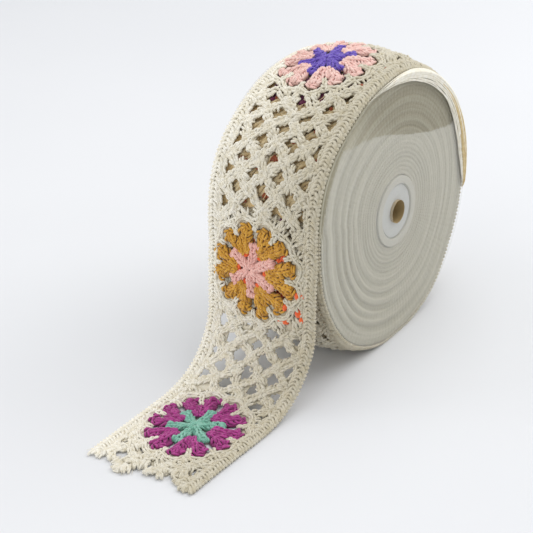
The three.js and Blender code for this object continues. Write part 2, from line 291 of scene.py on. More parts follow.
    def lay(self, places: Array) -> Array:
        """Carries places on the trim into the row frame.

        Args:
            places: Places (along, across, height) in millimetres, in any array shape.

        Returns:
            Points in metres, on the roll before the trim leaves it and on the loose end after.
        """
        along, across, height = np.moveaxis(places, -1, 0)
        wound = self.on_roll(along, across, height)
        loose = self.on_loose_end(along, across, height)
        laid = np.where((along < self.loose_from)[..., None], wound, loose)
        return (laid + self.axle) * MM


ROUTE = TrimRoute()


@dataclass
class Skein:
    """Gathers tubes of yarn and thin pads in trim places, and makes one mesh of them.

    The ground is the height that the yarn stands on; how far each point stands above it is kept
    on the mesh, in millimetres, for the shade that lies deep among the stitches.
    """

    ground: float = 0.0
    points: list[Array] = field(default_factory=list)
    stands: list[Array] = field(default_factory=list)
    corners: list[Indices] = field(default_factory=list)
    sizes: list[Indices] = field(default_factory=list)
    charts: list[Array] = field(default_factory=list)
    count: int = 0

    def add_faces(self, points: Array, faces: Indices, chart: Array) -> None:
        """Adds points and faces of one size.

        Args:
            points: Points, their last axis holding (along, across, height).
            faces: Indices of each face's corners, shaped (faces, corners).
            chart: Each corner's place on the yarn's own map.
        """
        self.points.append(points.reshape(-1, 3))
        self.stands.append(self.points[-1][:, 2] - self.ground)
        self.corners.append(faces.reshape(-1) + self.count)
        self.sizes.append(np.full(faces.shape[0], faces.shape[1]))
        self.charts.append(chart.reshape(-1, 2))
        self.count += self.points[-1].shape[0]

    def _add_shells(self, rings: Array, chart: Array) -> None:
        """Adds closed shells: rings joined by four-cornered faces, with a face at each end.

        Args:
            rings: Points, shaped (shells, steps, sides, 3).
            chart: Each corner's place on the yarn's own map, or one that spreads to all of them.
        """
        shells, steps, sides = rings.shape[:3]
        index = np.arange(shells * steps * sides).reshape(shells, steps, sides)
        right = np.roll(index, -1, axis=2)
        quads = np.stack([index[:, :-1], right[:, :-1], right[:, 1:], index[:, 1:]], axis=-1)
        caps = np.concatenate([index[:, 0, ::-1], index[:, -1]])
        first = self.count
        self.add_faces(rings, quads.reshape(-1, 4), np.broadcast_to(chart, (*quads.shape, 2)))
        self.corners.append(caps.reshape(-1) + first)
        self.sizes.append(np.full(caps.shape[0], sides))
        self.charts.append(np.zeros((caps.size, 2)))

    def add_tubes(self, paths: Array, girths: Array, sides: int = 6) -> None:
        """Adds tubes along paths.

        Each ring is its path's point plus the girth times the cosine of the turn sideways and
        times its sine upwards; the ends are closed.

        Args:
            paths: Centre-lines, shaped (tubes, steps, 3).
            girths: Radii, shaped like the paths without their last axis, or one that spreads to it.
            sides: Corners of a ring.
        """
        tubes, steps = paths.shape[:2]
        girths = np.broadcast_to(girths, (tubes, steps))
        ahead = np.gradient(paths, axis=1)
        ahead /= np.linalg.norm(ahead, axis=-1, keepdims=True) + 1e-9
        sideways = np.cross(np.array([0.0, 0.0, 1.0]), ahead)
        sideways /= np.linalg.norm(sideways, axis=-1, keepdims=True) + 1e-9
        upwards = np.cross(ahead, sideways)
        turn = 2 * np.pi * np.arange(sides) / sides
        ring = (
            np.cos(turn)[:, None] * sideways[:, :, None, :]
            + np.sin(turn)[:, None] * upwards[:, :, None, :]
        )
        length = np.linalg.norm(np.diff(paths, axis=1), axis=-1)
        reach = np.concatenate([np.zeros((tubes, 1)), np.cumsum(length, axis=1)], axis=1)
        start = np.arange(sides) / sides
        here, there, start = np.broadcast_arrays(reach[:, :-1, None], reach[:, 1:, None], start)
        stop = start + 1 / sides
        along = np.stack([here, here, there, there], axis=-1)
        chart = np.stack([along, np.stack([start, stop, stop, start], axis=-1)], axis=-1)
        self._add_shells(paths[:, :, None, :] + girths[:, :, None, None] * ring, chart)

    def add_pads(self, middles: Array, headings: Array, long: Array, wide: Array, thick: float) -> None:
        """Adds thin closed lenses, the felted yarn under a block of stitches.

        Each is a squashed ball: the cosine and sine of a turn times the half sizes, with the
        thickness falling to nothing at its rim.

        Args:
            middles: Middles, shaped (pads, 3).
            headings: Directions of the long axis, in radians from along.
            long: Half lengths.
            wide: Half widths.
            thick: Half thickness.
        """
        tilt = np.linspace(-np.pi / 2 + 0.12, np.pi / 2 - 0.12, 5)[:, None]
        turn = 2 * np.pi * np.arange(12) / 12
        ball = np.stack(
            [np.cos(tilt) * np.cos(turn), np.cos(tilt) * np.sin(turn), np.sin(tilt) + 0 * turn], axis=-1
        )
        size = np.stack([long, wide, np.full_like(long, thick)], axis=-1)
        local = ball[None] * size[:, None, None, :]
        cos, sin = (f(headings)[:, None, None] for f in (np.cos, np.sin))
        turned = np.stack(
            [
                local[..., 0] * cos - local[..., 1] * sin,
                local[..., 0] * sin + local[..., 1] * cos,
                local[..., 2],
            ],
            axis=-1,
        )
        self._add_shells(middles[:, None, None, :] + turned, np.zeros(2))

    def make(self, name: str, laid: bool = True) -> bpy.types.Object:
        """Makes one smooth mesh object of all that was gathered.

        Args:
            name: The piece's name.
            laid: Whether its points are trim places, and not yet points in the row frame.

        Returns:
            The object, with its chart as the UV map "yarn".
        """
        points = np.concatenate(self.points)
        points = ROUTE.lay(points) if laid else points
        corners = np.concatenate(self.corners)
        sizes = np.concatenate(self.sizes)
        mesh = bpy.data.meshes.new(name)
        mesh.vertices.add(len(points))
        mesh.vertices.foreach_set("co", points.astype(np.float32).ravel())
        mesh.loops.add(len(corners))
        mesh.loops.foreach_set("vertex_index", corners.astype(np.int32))
        mesh.polygons.add(len(sizes))
        starts = np.concatenate([[0], np.cumsum(sizes)[:-1]])
        mesh.polygons.foreach_set("loop_start", starts.astype(np.int32))
        mesh.polygons.foreach_set("use_smooth", np.ones(len(sizes), bool))
        layer = mesh.uv_layers.new(name="yarn")
        layer.data.foreach_set("uv", np.concatenate(self.charts).astype(np.float32).ravel())
        stand = mesh.attributes.new("stand", "FLOAT", "POINT")
        stand.data.foreach_set("value", np.concatenate(self.stands).astype(np.float32))
        mesh.update(calc_edges=True)
        mesh.validate()
        piece = bpy.data.objects.new(name, mesh)
        bpy.context.scene.collection.objects.link(piece)
        return piece


Setting = bpy.types.NodeSocket | tuple[float, ...] | float
Inputs = dict[str | int, Setting]


def fill(node: bpy.types.Node, inputs: Inputs) -> bpy.types.Node:
    """Gives a node's inputs another node's socket or a constant each.

    Args:
        node: The node.
        inputs: What each input takes, by its name or number.

    Returns:
        The same node.
    """
    for name, value in inputs.items():
        if isinstance(value, bpy.types.NodeSocket):
            node.id_data.links.new(value, node.inputs[name])
        else:
            node.inputs[name].default_value = value
    return node


def add_node(tree: bpy.types.NodeTree, kind: str, inputs: Inputs, **settings: str) -> bpy.types.Node:
    """Adds a node to a material.

    Args:
        tree: The material's node tree.
        kind: The node's type, less the "ShaderNode" that all of them start with.
        inputs: What its inputs take.
        settings: Its own settings, by name.

    Returns:
        The node.
    """
    node = tree.nodes.new(f"ShaderNode{kind}")
    for name, value in settings.items():
        setattr(node, name, value)
    return fill(node, inputs)


def add_sum(tree: bpy.types.NodeTree, kind: str, *values: Setting) -> bpy.types.NodeSocket:
    """Adds one sum on values to a material, and gives the socket with its result."""
    return add_node(tree, "Math", dict(enumerate(values)), operation=kind).outputs["Value"]


def add_noise(tree: bpy.types.NodeTree, scale: float, detail: float = 2.0) -> bpy.types.NodeSocket:
    """Adds a noise on object places to a material.

    Args:
        tree: The material's node tree.
        scale: How fine the noise is.
        detail: How many finer noises are laid over it.

    Returns:
        The socket with the noise.
    """
    place = add_node(tree, "TexCoord", {}).outputs["Object"]
    inputs = {"Vector": place, "Scale": scale, "Detail": detail}
    return add_node(tree, "TexNoise", inputs).outputs["Fac"]


def add_ramp(
    tree: bpy.types.NodeTree,
    share: bpy.types.NodeSocket,
    low: tuple[float, Colour],
    high: tuple[float, Colour],
) -> bpy.types.NodeSocket:
    """Adds a ramp between two colours to a material.

    Args:
        tree: The material's node tree.
        share: What the ramp is read at.
        low: Where its first colour stands, and that colour.
        high: Where its second colour stands, and that colour.

    Returns:
        The socket with the colour.
    """
    ramp = add_node(tree, "ValToRGB", {"Fac": share})
    for stop, (position, colour) in zip(ramp.color_ramp.elements, (low, high)):
        stop.position = position
        stop.color = (*colour, 1)
    return ramp.outputs["Color"]


def add_bump(
    tree: bpy.types.NodeTree, height: bpy.types.NodeSocket, strength: float, distance: float
) -> bpy.types.NodeSocket:
    """Adds a bump to a material, and gives the socket with its normal."""
    inputs = {"Height": height, "Strength": strength, "Distance": distance}
    return add_node(tree, "Bump", inputs).outputs["Normal"]


class Finish:
    """What a piece is made of. Each kind sets out the nodes of its own material."""

    name: str
    slot: str

    def material(self) -> bpy.types.Material:
        """Makes the material, or gives back the one that was made before.

        Returns:
            The material.
        """
        made = bpy.data.materials.get(self.name)
        if made is None:
            made = bpy.data.materials.new(self.name)
            made.use_nodes = True
            fill(made.node_tree.nodes["Principled BSDF"], self._mixed(made.node_tree))
        return made

    def _mixed(self, tree: bpy.types.NodeTree) -> Inputs:
        """Sets out the material's nodes, and gives what its shader takes."""
        raise NotImplementedError


@dataclass(frozen=True)
class YarnFinish(Finish):
    """Cotton yarn: plied strands with a soft, slightly fuzzy face and uneven dye.

    Among the stitches, from the height "low" to the height "high" over the ground, the colour
    falls to a darker, warmer share of its shade colour: painted shade deep among the stitches.
    Where it is set, the colour also turns darker towards the near disc: painted shade for light
    that falls from the far side.
    """

    name: str
    colour: Colour
    shade: Colour
    # Painted shade among the stitches: the share the colour falls to, and the heights where it starts and
    # ends.
    deep: float = 0.5
    low: float = 0.5
    high: float = 2.7
    ply: float = 2.2
    # Painted shade towards the near disc: how strong it is.
    near_side_shade: float = 0.0
    slot: str = "lace"
    # Warm tint of the painted shade among the stitches.
    crevice_shade_tint: Colour = (1.0, 0.96, 0.86)
    # Tone of the painted shade towards the near disc, and how far out from the middle it is full.
    near_side_shade_tone: Colour = (0.6, 0.57, 0.49)
    edge: float = 0.045

    def _mixed(self, tree: bpy.types.NodeTree) -> Inputs:
        """Sets out the nodes of mottled, ribbed yarn.

        Args:
            tree: The material's node tree.

        Returns:
            What the shader takes: a colour that mottles between the two by a noise on object
            places, darkened by painted shade low among the stitches and towards the near disc, and a
            bump by the sine of the place along the yarn plus twice that round it.
        """
        tone = add_ramp(tree, add_noise(tree, 260, 4), (0.36, self.shade), (0.62, self.colour))
        # Painted shade: low among the stitches the colour falls to a darker, warmer share of the shade
        # colour.
        stand = add_node(tree, "Attribute", {}, attribute_name="stand").outputs["Fac"]
        reach = {"Value": stand, "From Min": self.low, "From Max": self.high}
        depth = add_node(tree, "MapRange", reach, interpolation_type="SMOOTHSTEP").outputs["Result"]
        darker = (*(self.deep * np.array(self.shade) * self.crevice_shade_tint), 1)
        sunk = add_node(tree, "Mix", {"Factor": depth, "A": darker, "B": tone}, data_type="RGBA")
        # Painted shade: the colour darkens across the trim towards the near disc, for light that falls
        # from the far side.
        place = add_node(tree, "TexCoord", {}).outputs["Object"]
        aside = add_node(tree, "SeparateXYZ", {"Vector": place}).outputs["X"]
        reach = {"Value": aside, "From Min": -self.edge, "From Max": self.edge, "To Max": self.near_side_shade}
        near_side_shade_share = add_node(tree, "MapRange", reach).outputs["Result"]
        inputs = {"Factor": near_side_shade_share, "A": sunk.outputs["Result"], "B": (*self.near_side_shade_tone, 1)}
        near_side_shaded = add_node(tree, "Mix", inputs, data_type="RGBA", blend_type="MULTIPLY")
        chart = add_node(tree, "UVMap", {}, uv_map="yarn").outputs["UV"]
        split = add_node(tree, "SeparateXYZ", {"Vector": chart})
        along = add_sum(tree, "MULTIPLY", split.outputs["X"], 2 * math.pi / self.ply)
        around = add_sum(tree, "MULTIPLY", split.outputs["Y"], 4 * math.pi)
        ribs = add_sum(tree, "SINE", add_sum(tree, "ADD", along, around))
        relief = add_sum(tree, "MULTIPLY_ADD", ribs, 0.35, add_noise(tree, 2400))
        return {
            "Base Color": near_side_shaded.outputs["Result"],
            "Roughness": 0.92,
            "Specular IOR Level": 0.2,
            "Sheen Weight": 0.25,
            "Sheen Roughness": 0.6,
            "Normal": add_bump(tree, relief, 0.4, 0.0003),
        }


@dataclass(frozen=True)
class WoundEdgeFinish(Finish):
    """The edges of the wound turns, with the small stitches of a selvedge seen edge on."""

    name: str = "wound_turns_cotton"
    # Painted shade: the cream yarn darkened for the shaded side of the roll, and more in the valleys
    # between the turns.
    face: Colour = linear(179, 174, 154)
    valley: Colour = linear(143, 136, 113)
    # Painted shade: the turns deep beneath the two outer layers, darkened and warmed to tan.
    outside: Colour = linear(238, 210, 158)
    stitch: float = 3.2
    sides_end: float = 24.0
    slot: str = "lace"

    def _mixed(self, tree: bpy.types.NodeTree) -> Inputs:
        """Sets out the nodes of wound edges.

        Args:
            tree: The material's node tree.

        Returns:
            What the shader takes: a colour that is light on the turns' edges and darker between them,
            painted shade, with both tones far darker than the cream yarn as painted shade for the shaded
            side; brown on the drum's outer face, painted shade of the turns deep beneath; and a bump by
            the sine of the place round the turn.
        """
        mottle = add_noise(tree, 420)
        # Painted shade: the lower a place sinks between the turns, the darker its colour.
        stand = add_node(tree, "Attribute", {}, attribute_name="stand").outputs["Fac"]
        level = add_sum(tree, "MULTIPLY_ADD", mottle, 0.3, stand)
        tone = add_ramp(tree, level, (0.2, self.valley), (0.86, self.face))
        chart = add_node(tree, "UVMap", {}, uv_map="yarn").outputs["UV"]
        split = add_node(tree, "SeparateXYZ", {"Vector": chart})
        out = add_sum(tree, "GREATER_THAN", split.outputs["Y"], self.sides_end)
        inputs = {"Factor": out, "A": tone, "B": (*self.outside, 1)}
        blend = add_node(tree, "Mix", inputs, data_type="RGBA").outputs["Result"]
        round_turn = add_sum(tree, "MULTIPLY", split.outputs["X"], 2 * math.pi / self.stitch)
        relief = add_sum(tree, "MULTIPLY_ADD", add_sum(tree, "SINE", round_turn), 0.16, mottle)
        return {
            "Base Color": blend,
            "Roughness": 0.9,
            "Specular IOR Level": 0.2,
            "Sheen Weight": 0.2,
            "Normal": add_bump(tree, relief, 0.6, 0.0007),
        }


@dataclass(frozen=True)
class MouldedFinish(Finish):
    """Moulded plastic, clear or white, with faint flow marks; disc rims take a tinted one as painted
    light.
    """

    name: str
    colour: Colour
    roughness: float
    alpha: float
    slot: str
    mirror: float = 0.0

    def _mixed(self, tree: bpy.types.NodeTree) -> Inputs:
        """Sets out the nodes of moulded plastic.

        Args:
            tree: The material's node tree.

        Returns:
            What the shader takes, with a roughness that wanders by a noise on object places.
        """
        marks = add_noise(tree, 45, 5)
        reach = {"Value": marks, "To Min": self.roughness * 0.7, "To Max": self.roughness * 1.4}
        return {
            "Base Color": (*self.colour, 1),
            "Metallic": self.mirror,
            "Roughness": add_node(tree, "MapRange", reach).outputs["Result"],
            "IOR": 1.49,
            "Alpha": self.alpha,
            "Normal": add_bump(tree, marks, 0.12, 0.0004),
        }


class Yarn(Enum):
    """The yarns of the trim."""

    CREAM = YarnFinish(
        "cream_cotton", linear(245, 241, 230), linear(233, 226, 207), deep=0.84, high=3.0, near_side_shade=0.95
    )
    EDGE = YarnFinish("edge_cotton", linear(242, 238, 226), linear(232, 225, 206), deep=0.8)
    # Painted shade: the lace of the turn beneath, darkened and warmed to tan for the shade and warm
    # bounce light in the net's gaps.
    UNDER = YarnFinish(
        "under_turn_cotton", linear(240, 222, 184), linear(226, 202, 156), deep=0.95, near_side_shade=0.95
    )
    TURQUOISE = YarnFinish("turquoise_cotton", linear(140, 194, 176), linear(116, 176, 155), high=3.4)
    MAGENTA = YarnFinish(
        "magenta_cotton", linear(178, 62, 142), linear(151, 43, 118), deep=0.45, high=3.7
    )
    PINK = YarnFinish("pink_cotton", linear(236, 189, 178), linear(228, 172, 161), deep=0.55, high=3.4)
    MUSTARD = YarnFinish(
        "mustard_cotton", linear(215, 163, 58), linear(187, 133, 36), deep=0.42, high=3.7
    )
    PURPLE = YarnFinish("purple_cotton", linear(112, 88, 188), linear(90, 65, 163), deep=0.4, high=3.7)
    PALE_PINK = YarnFinish(
        "pale_pink_cotton", linear(237, 204, 194), linear(228, 181, 172), deep=0.6, high=3.5
    )
    ORANGE = YarnFinish("orange_red_cotton", linear(234, 105, 47), linear(221, 82, 32), deep=0.8)
    PLUM = YarnFinish("plum_cotton", linear(105, 30, 71), linear(77, 17, 50), deep=0.5)
    BROWN = YarnFinish("brown_cotton", linear(157, 79, 36), linear(127, 56, 22), deep=0.6)
    # Painted light: straw tint on the strands over the disc's rim, for the amber glow of light in the
    # clear disc's edge.
    STRAW_GLOW = YarnFinish("straw_painted_glow", linear(216, 196, 150), linear(198, 172, 122), deep=0.8)
    BLUE = YarnFinish("blue_cotton", linear(86, 123, 166), linear(65, 101, 144), high=3.0)
    GREEN = YarnFinish("green_cotton", linear(120, 148, 86), linear(97, 125, 65), high=3.4)


def finished(piece: bpy.types.Object, finish: Finish) -> bpy.types.Object:
    """Dresses a piece and makes it ride with the trim.

    Args:
        piece: The piece.
        finish: Its finish.

    Returns:
        The same piece.
    """
    piece.data.materials.clear()
    piece.data.materials.append(finish.material())
    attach(piece, BODY)
    LOG.info("%s: %d faces", piece.name, len(piece.data.polygons))
    return piece


@dataclass(frozen=True)
class Stitch:
    """One V-shaped chain stitch of two legs, which start close together, part and close again."""

    girth: float
    rise: float = 1.2
    floor: float = 1.0
    steps: int = 5
    sides: int = 5
    untidy: float = 0.16
    reach: float = 1.5
    slant: float = 1.7

    def _spin(
        self, skein: Skein, base: Array, aim: Array, offsets: tuple[Array, Array, Array], girths: Array
    ) -> None:
        """Lays strands that stand off from where their stitches start, turned by the stitches' aim.

        Args:
            skein: What takes the yarn.
            base: Where each stitch starts, shaped (stitches, 2).
            aim: Which way each goes, in radians from along.
            offsets: Ahead, aside and height, each shaped (stitches, legs, steps) or spread to it.
            girths: Radii, spread to it too.
        """
        ahead, aside, height = offsets
        cos, sin = np.cos(aim), np.sin(aim)
        along = base[:, 0, None, None] + ahead * cos - aside * sin
        across = base[:, 1, None, None] + ahead * sin + aside * cos
        paths = np.stack(np.broadcast_arrays(along, across, height), axis=-1)
        girths = np.broadcast_to(girths, along.shape).reshape(-1, self.steps)
        skein.add_tubes(paths.reshape(-1, self.steps, 3), girths, self.sides)

    def work(
        self,
        skein: Skein,
        rng: np.random.Generator,
        base: Array,
        heading: Array,
        pitch: Array | float,
        width: Array | float,
        lift: Array | float = 0.0,
    ) -> None:
        """Works stitches into a skein.

        A leg's place ahead is the pitch times its reach times t, less a quarter; its place aside
        the spread times 0.1 + 0.9 sin(0.8 pi t^1.2); its height the rise times sin(pi t)^0.8, for
        t from 0 to 1.

        Args:
            skein: What takes the yarn.
            rng: Where the untidiness comes from.
            base: Where each stitch starts, shaped (stitches, 2).
            heading: Which way it goes, in radians from along.
            pitch: From one stitch to the next.
            width: Widths of the pairs of legs, over all.
            lift: Heights added to the stitch's own.
        """
        count = len(base)
        pitch, width, lift = (np.broadcast_to(v, count)[:, None, None] for v in (pitch, width, lift))
        t = np.linspace(0, 1, self.steps)[None, None, :]
        leg = np.array([-1.0, 1.0])[None, :, None]
        loose = 1 + self.untidy * rng.normal(size=(3, count, 2, 1))
        aim = heading[:, None, None] + 0.8 * self.untidy * rng.normal(size=(count, 1, 1))
        spread = np.maximum(width / 2 - self.girth, 0.25)
        ahead = pitch * (self.reach * t - 0.25) * (0.7 + 0.3 * loose[0])
        aside = leg * spread * loose[1] * (0.1 + 0.9 * np.sin(0.8 * np.pi * t**1.2))
        height = self.floor + lift + self.rise * loose[2] * np.sin(np.pi * t) ** 0.8
        thin = 1 - 0.25 * np.abs(2 * t - 1) ** 3
        girths = self.girth * thin * (0.85 + 0.15 * loose[0])
        self._spin(skein, base, aim, (ahead, aside, height), girths)

    def wrap(
        self,
        skein: Skein,
        rng: np.random.Generator,
        base: Array,
        heading: Array,
        pitch: float,
        width: Array | float,
        crown: float,
    ) -> None:
        """Wraps pairs of strands over a rounded back, from its ridge out and ahead to its edges.

        A strand's place aside is half the width times sin(pi t / 2), its height the crown times
        cos(pi t / 2)^0.7, and its place ahead the pitch times its slant times t^1.4, for t from 0
        to 1.

        Args:
            skein: What takes the yarn.
            rng: Where the untidiness comes from.
            base: Where each pair starts, shaped (pairs, 2).
            heading: Which way the back runs, in radians from along.
            pitch: From one pair to the next.
            width: Widths of the back.
            crown: How high its ridge stands over its edges.
        """
        count = len(base)
        t = np.linspace(0, 1, self.steps)[None, None, :]
        leg = np.array([-1.0, 1.0])[None, :, None]
        loose = 1 + self.untidy * rng.normal(size=(3, count, 2, 1))
        half = np.broadcast_to(width, count)[:, None, None] / 2
        aside = leg * half * (np.sin(np.pi * t / 2) * (0.8 + 0.2 * loose[0]) - 0.04)
        ahead = pitch * (self.slant * t**1.4 * loose[1] - 0.6)
        height = self.floor + crown * (0.8 + 0.2 * loose[2]) * np.cos(np.pi * t / 2) ** 0.7
        girths = self.girth * (1 - 0.25 * np.abs(2 * t - 1) ** 3)
        self._spin(skein, base, heading[:, None, None], (ahead, aside, height), girths)

    def loops(
        self, skein: Skein, rng: np.random.Generator, base: Array, heading: Array, length: float
    ) -> None:
        """Works single stray loops of yarn into a skein.

        A loop goes out along its heading, swings aside by a sine of its share and arches up by
        another.

        Args:
            skein: What takes the yarn.
            rng: Where the untidiness comes from.
            base: Middles of the loops, shaped (loops, 2).
            heading: Which way they go, in radians from along.
            length: About how long they are.
        """
        count = len(base)
        t = np.linspace(0, 1, self.steps)[None, None, :]
        ahead = length * rng.uniform(0.75, 1.25, (count, 1, 1)) * (t - 0.5)
        swing = rng.normal(0, 1.3, (count, 1, 1)) * np.sin(np.pi * t)
        height = self.floor + self.rise * rng.uniform(0.7, 1.3, (count, 1, 1)) * np.sin(np.pi * t)
        girths = self.girth * (1 - 0.2 * np.abs(2 * t - 1) ** 3)
        self._spin(skein, base, heading[:, None, None], (ahead, swing, height), girths)


def strung(starts: Array, ends: Array, pitch: float) -> tuple[Array, Array, Array, Array]:
    """Sets stitches at even steps along straight bars.

    Args:
        starts: Where the bars start, shaped (bars, 2).
        ends: Where they end.
        pitch: About how far apart the stitches are.

    Returns:
        Where each stitch starts, its heading, its pitch, and its share of the way along its bar.
    """
    run = ends - starts
    length = np.hypot(run[:, 0], run[:, 1])
    number = np.maximum(np.round(length / pitch), 1).astype(int)
    bar = np.repeat(np.arange(len(starts)), number)
    rank = np.arange(len(bar)) - np.repeat(np.cumsum(number) - number, number)
    share = rank / number[bar]
    heading = np.arctan2(run[:, 1], run[:, 0])
    return starts[bar] + run[bar] * share[:, None], heading[bar], (length / number)[bar], share


@dataclass(frozen=True)
class FlowerMotif:
    """A six-armed star in a round of six two-lobed petals, with cream stitches about it."""

    name: str
    along: float
    across: float
    star: Yarn
    petals: Yarn
    star_reach: float = 20.8
    star_width: float = 10.2
    petal_root: float = 13.5
    petal_reach: float = 34.0
    round_radius: float = 37.0
    star_pitch: float = 2.1
    petal_pitch: float = 2.3
    lobe_root: float = 9.0
    lobe_tip: float = 14.4
    swing: float = 1.3
    inside: float = 37.5
    cords: tuple[tuple[float, float, float], ...] = (
        # radius past the round's, swing, height
        (-1.6, 2.0, 2.0),
        (0.4, 1.6, 3.2),
        (2.6, 1.2, 2.4),
    )
    posts: int = 30
    plain: bool = False
    turned: float = 0.0
    lean: float = 0.0

    @property
    def middle(self) -> Array:
        """Gives the middle of the flower on the trim."""
        return np.array([self.along, self.across])

    @property
    def steps(self) -> int:
        """Gives the steps of a leg, fewer on a flower that lies hidden."""
        return 4 if self.plain else 5

    def clear_of(self, places: Array, radius: float) -> Mask:
        """Tells which places on the trim lie outside a circle about the flower.

        Args:
            places: Places, with along and across first.
            radius: The circle's radius.

        Returns:
            True where the place is outside.
        """
        return np.hypot(places[..., 0] - self.along, places[..., 1] - self.across) > radius

    def _from_polar(self, radius: Array, angle: Array) -> Array:
        """Gives places by radius and angle about the middle, whose inner parts lean across.

        Args:
            radius: Radii.
            angle: Angles from along, before the flower is turned, in radians.

        Returns:
            Places (along, across): the middle plus the radius by the angle's cosine and sine.
        """
        turned = angle + self.turned
        lean = self.lean * np.clip(1 - radius / self.round_radius, 0, 1)
        return self.middle + np.stack([radius * np.cos(turned), radius * np.sin(turned) + lean], axis=-1)

    def _pad_ring(
        self, skein: Skein, angles: Array, radius: float, height: float, size: tuple[float, float, float]
    ) -> None:
        """Lays pads that point outwards in a ring about the middle.

        Args:
            skein: What takes them.
            angles: Where they lie, in radians.
            radius: The ring's radius.
            height: How high they lie.
            size: Their half length, half width and half thickness.
        """
        count = len(angles)
        middles = self._from_polar(np.full(count, radius), angles)
        places = np.column_stack([middles, np.full(count, height)])
        long, wide = (np.full(count, half) for half in size[:2])
        skein.add_pads(places, angles + self.turned, long, wide, size[2])

    def _star(self, rng: np.random.Generator) -> bpy.types.Object:
        """Crochets the star: six wrapped arms out from the middle, over pads, and a knot.

        Args:
            rng: Where the untidiness comes from.

        Returns:
            The star.
        """
        skein = Skein()
        arms = np.radians(np.arange(0, 360, 60.0)) + rng.normal(0, 0.035, 6)
        starts = self._from_polar(np.full(6, 2.4), arms)
        ends = self._from_polar(self.star_reach - 2.4 + rng.normal(0, 0.6, 6), arms)
        base, heading, _, share = strung(starts, ends, self.star_pitch)
        width = self.star_width * (0.62 + 0.38 * np.minimum(share * 2.0, 1)) - 2.0
        stitch = Stitch(girth=0.95, rise=1.2, floor=1.3, untidy=0.25, steps=self.steps, slant=2.3)
        aim = heading + rng.normal(0, 0.12, len(base))
        stitch.wrap(skein, rng, base, aim, self.star_pitch, width, 2.0)
        base, heading, pitch, share = strung(starts, ends, 3.0)
        base += rng.normal(0, 0.35, base.shape)
        stitch.work(skein, rng, base, heading, pitch, 4.2 + 1.2 * share, 1.6)
        tips = np.add.outer(arms, np.radians([-9.0, 0.0, 9.0]))
        base = self._from_polar(np.full(tips.shape, self.star_reach - 4.0), tips)
        stitch = Stitch(girth=1.0, rise=2.0, floor=1.4, untidy=0.15, steps=self.steps)
        stitch.work(skein, rng, base.reshape(-1, 2), tips.ravel() + self.turned, 3.0, 3.6)
        reach = self.star_reach
        self._pad_ring(skein, arms, reach * 0.53, 1.3, (reach * 0.46, 4.2, 1.6))
        ring = np.radians(np.arange(7) * 360 / 7)
        knot = self._from_polar(np.full(7, 1.6), ring)
        stitch = Stitch(girth=0.95, rise=0.8, floor=3.0, untidy=0.2, steps=self.steps)
        stitch.work(skein, rng, knot, ring + self.turned, 2.8, 3.4)
        return finished(skein.make(f"{self.name}_star"), self.star.value)

    def _petals(self, rng: np.random.Generator) -> bpy.types.Object:
        """Crochets the petals: each lobe a wrapped back with a chain along its ridge and tip.

        Args:
            rng: Where the untidiness comes from.

        Returns:
            The petals.
        """
        skein = Skein()
        petal, lobe = (axis.ravel() for axis in np.meshgrid(np.arange(6), np.array([-1.0, 1.0])))
        axis = np.radians(30 + 60 * petal)
        low = axis + np.radians(lobe * self.lobe_root)
        starts = self._from_polar(np.full(12, self.petal_root), low)
        high = axis + np.radians(lobe * self.lobe_tip) + rng.normal(0, 0.04, 12)
        ends = self._from_polar(self.petal_reach - 3.4 + rng.normal(0, 0.6, 12), high)
        stitch = Stitch(girth=1.02, rise=1.3, floor=1.2, untidy=0.24, steps=self.steps, slant=1.9)
        base, heading, _, share = strung(starts, ends, self.petal_pitch)
        aim = heading + rng.normal(0, 0.14, len(base))
        stitch.wrap(skein, rng, base, aim, self.petal_pitch, 5.7 + 4.4 * np.sqrt(share), 1.7)
        base, heading, pitch, share = strung(starts, ends, 3.2)
        base += rng.normal(0, 0.5, base.shape)
        puff = 0.9 + 0.7 * np.sin(np.pi * np.clip(0.75 * share + 0.15, 0, 1))
        stitch.work(skein, rng, base, heading, pitch, 4.4, puff)
        roots = np.radians(30 + 60 * np.arange(6.0))
        base, heading, pitch, share = strung(
            self._from_polar(np.full(6, self.petal_root), roots),
            self._from_polar(np.full(6, 25.5), roots),
            3.6,
        )
        stitch.work(skein, rng, base, heading, pitch, 4.6, 0.5)
        lobes = (roots[:, None] + np.radians([[-self.lobe_tip, self.lobe_tip]])).ravel()
        fan = np.array([-1.0, 0.0, 1.0])
        tips = np.add.outer(lobes, np.radians(7.5 * fan))
        reach = self.petal_reach - 1.4 - 2.2 * fan**2
        base = self._from_polar(np.broadcast_to(reach, tips.shape), tips - 0.05)
        heading = tips + self.turned + np.pi / 2 + 0.75 * fan
        stitch = Stitch(girth=0.98, rise=1.5, floor=1.35, untidy=0.18, steps=self.steps)
        stitch.work(skein, rng, base.reshape(-1, 2), heading.ravel(), 3.6, 4.8)
        self._pad_ring(skein, lobes, 25.4, 1.05, (8.2, 5.4, 1.2))
        self._pad_ring(skein, lobes, 29.4, 1.3, (4.2, 5.2, 1.5))
        self._pad_ring(skein, roots, 18.6, 1.05, (5.2, 6.6, 0.9))
        return finished(skein.make(f"{self.name}_petals"), self.petals.value)

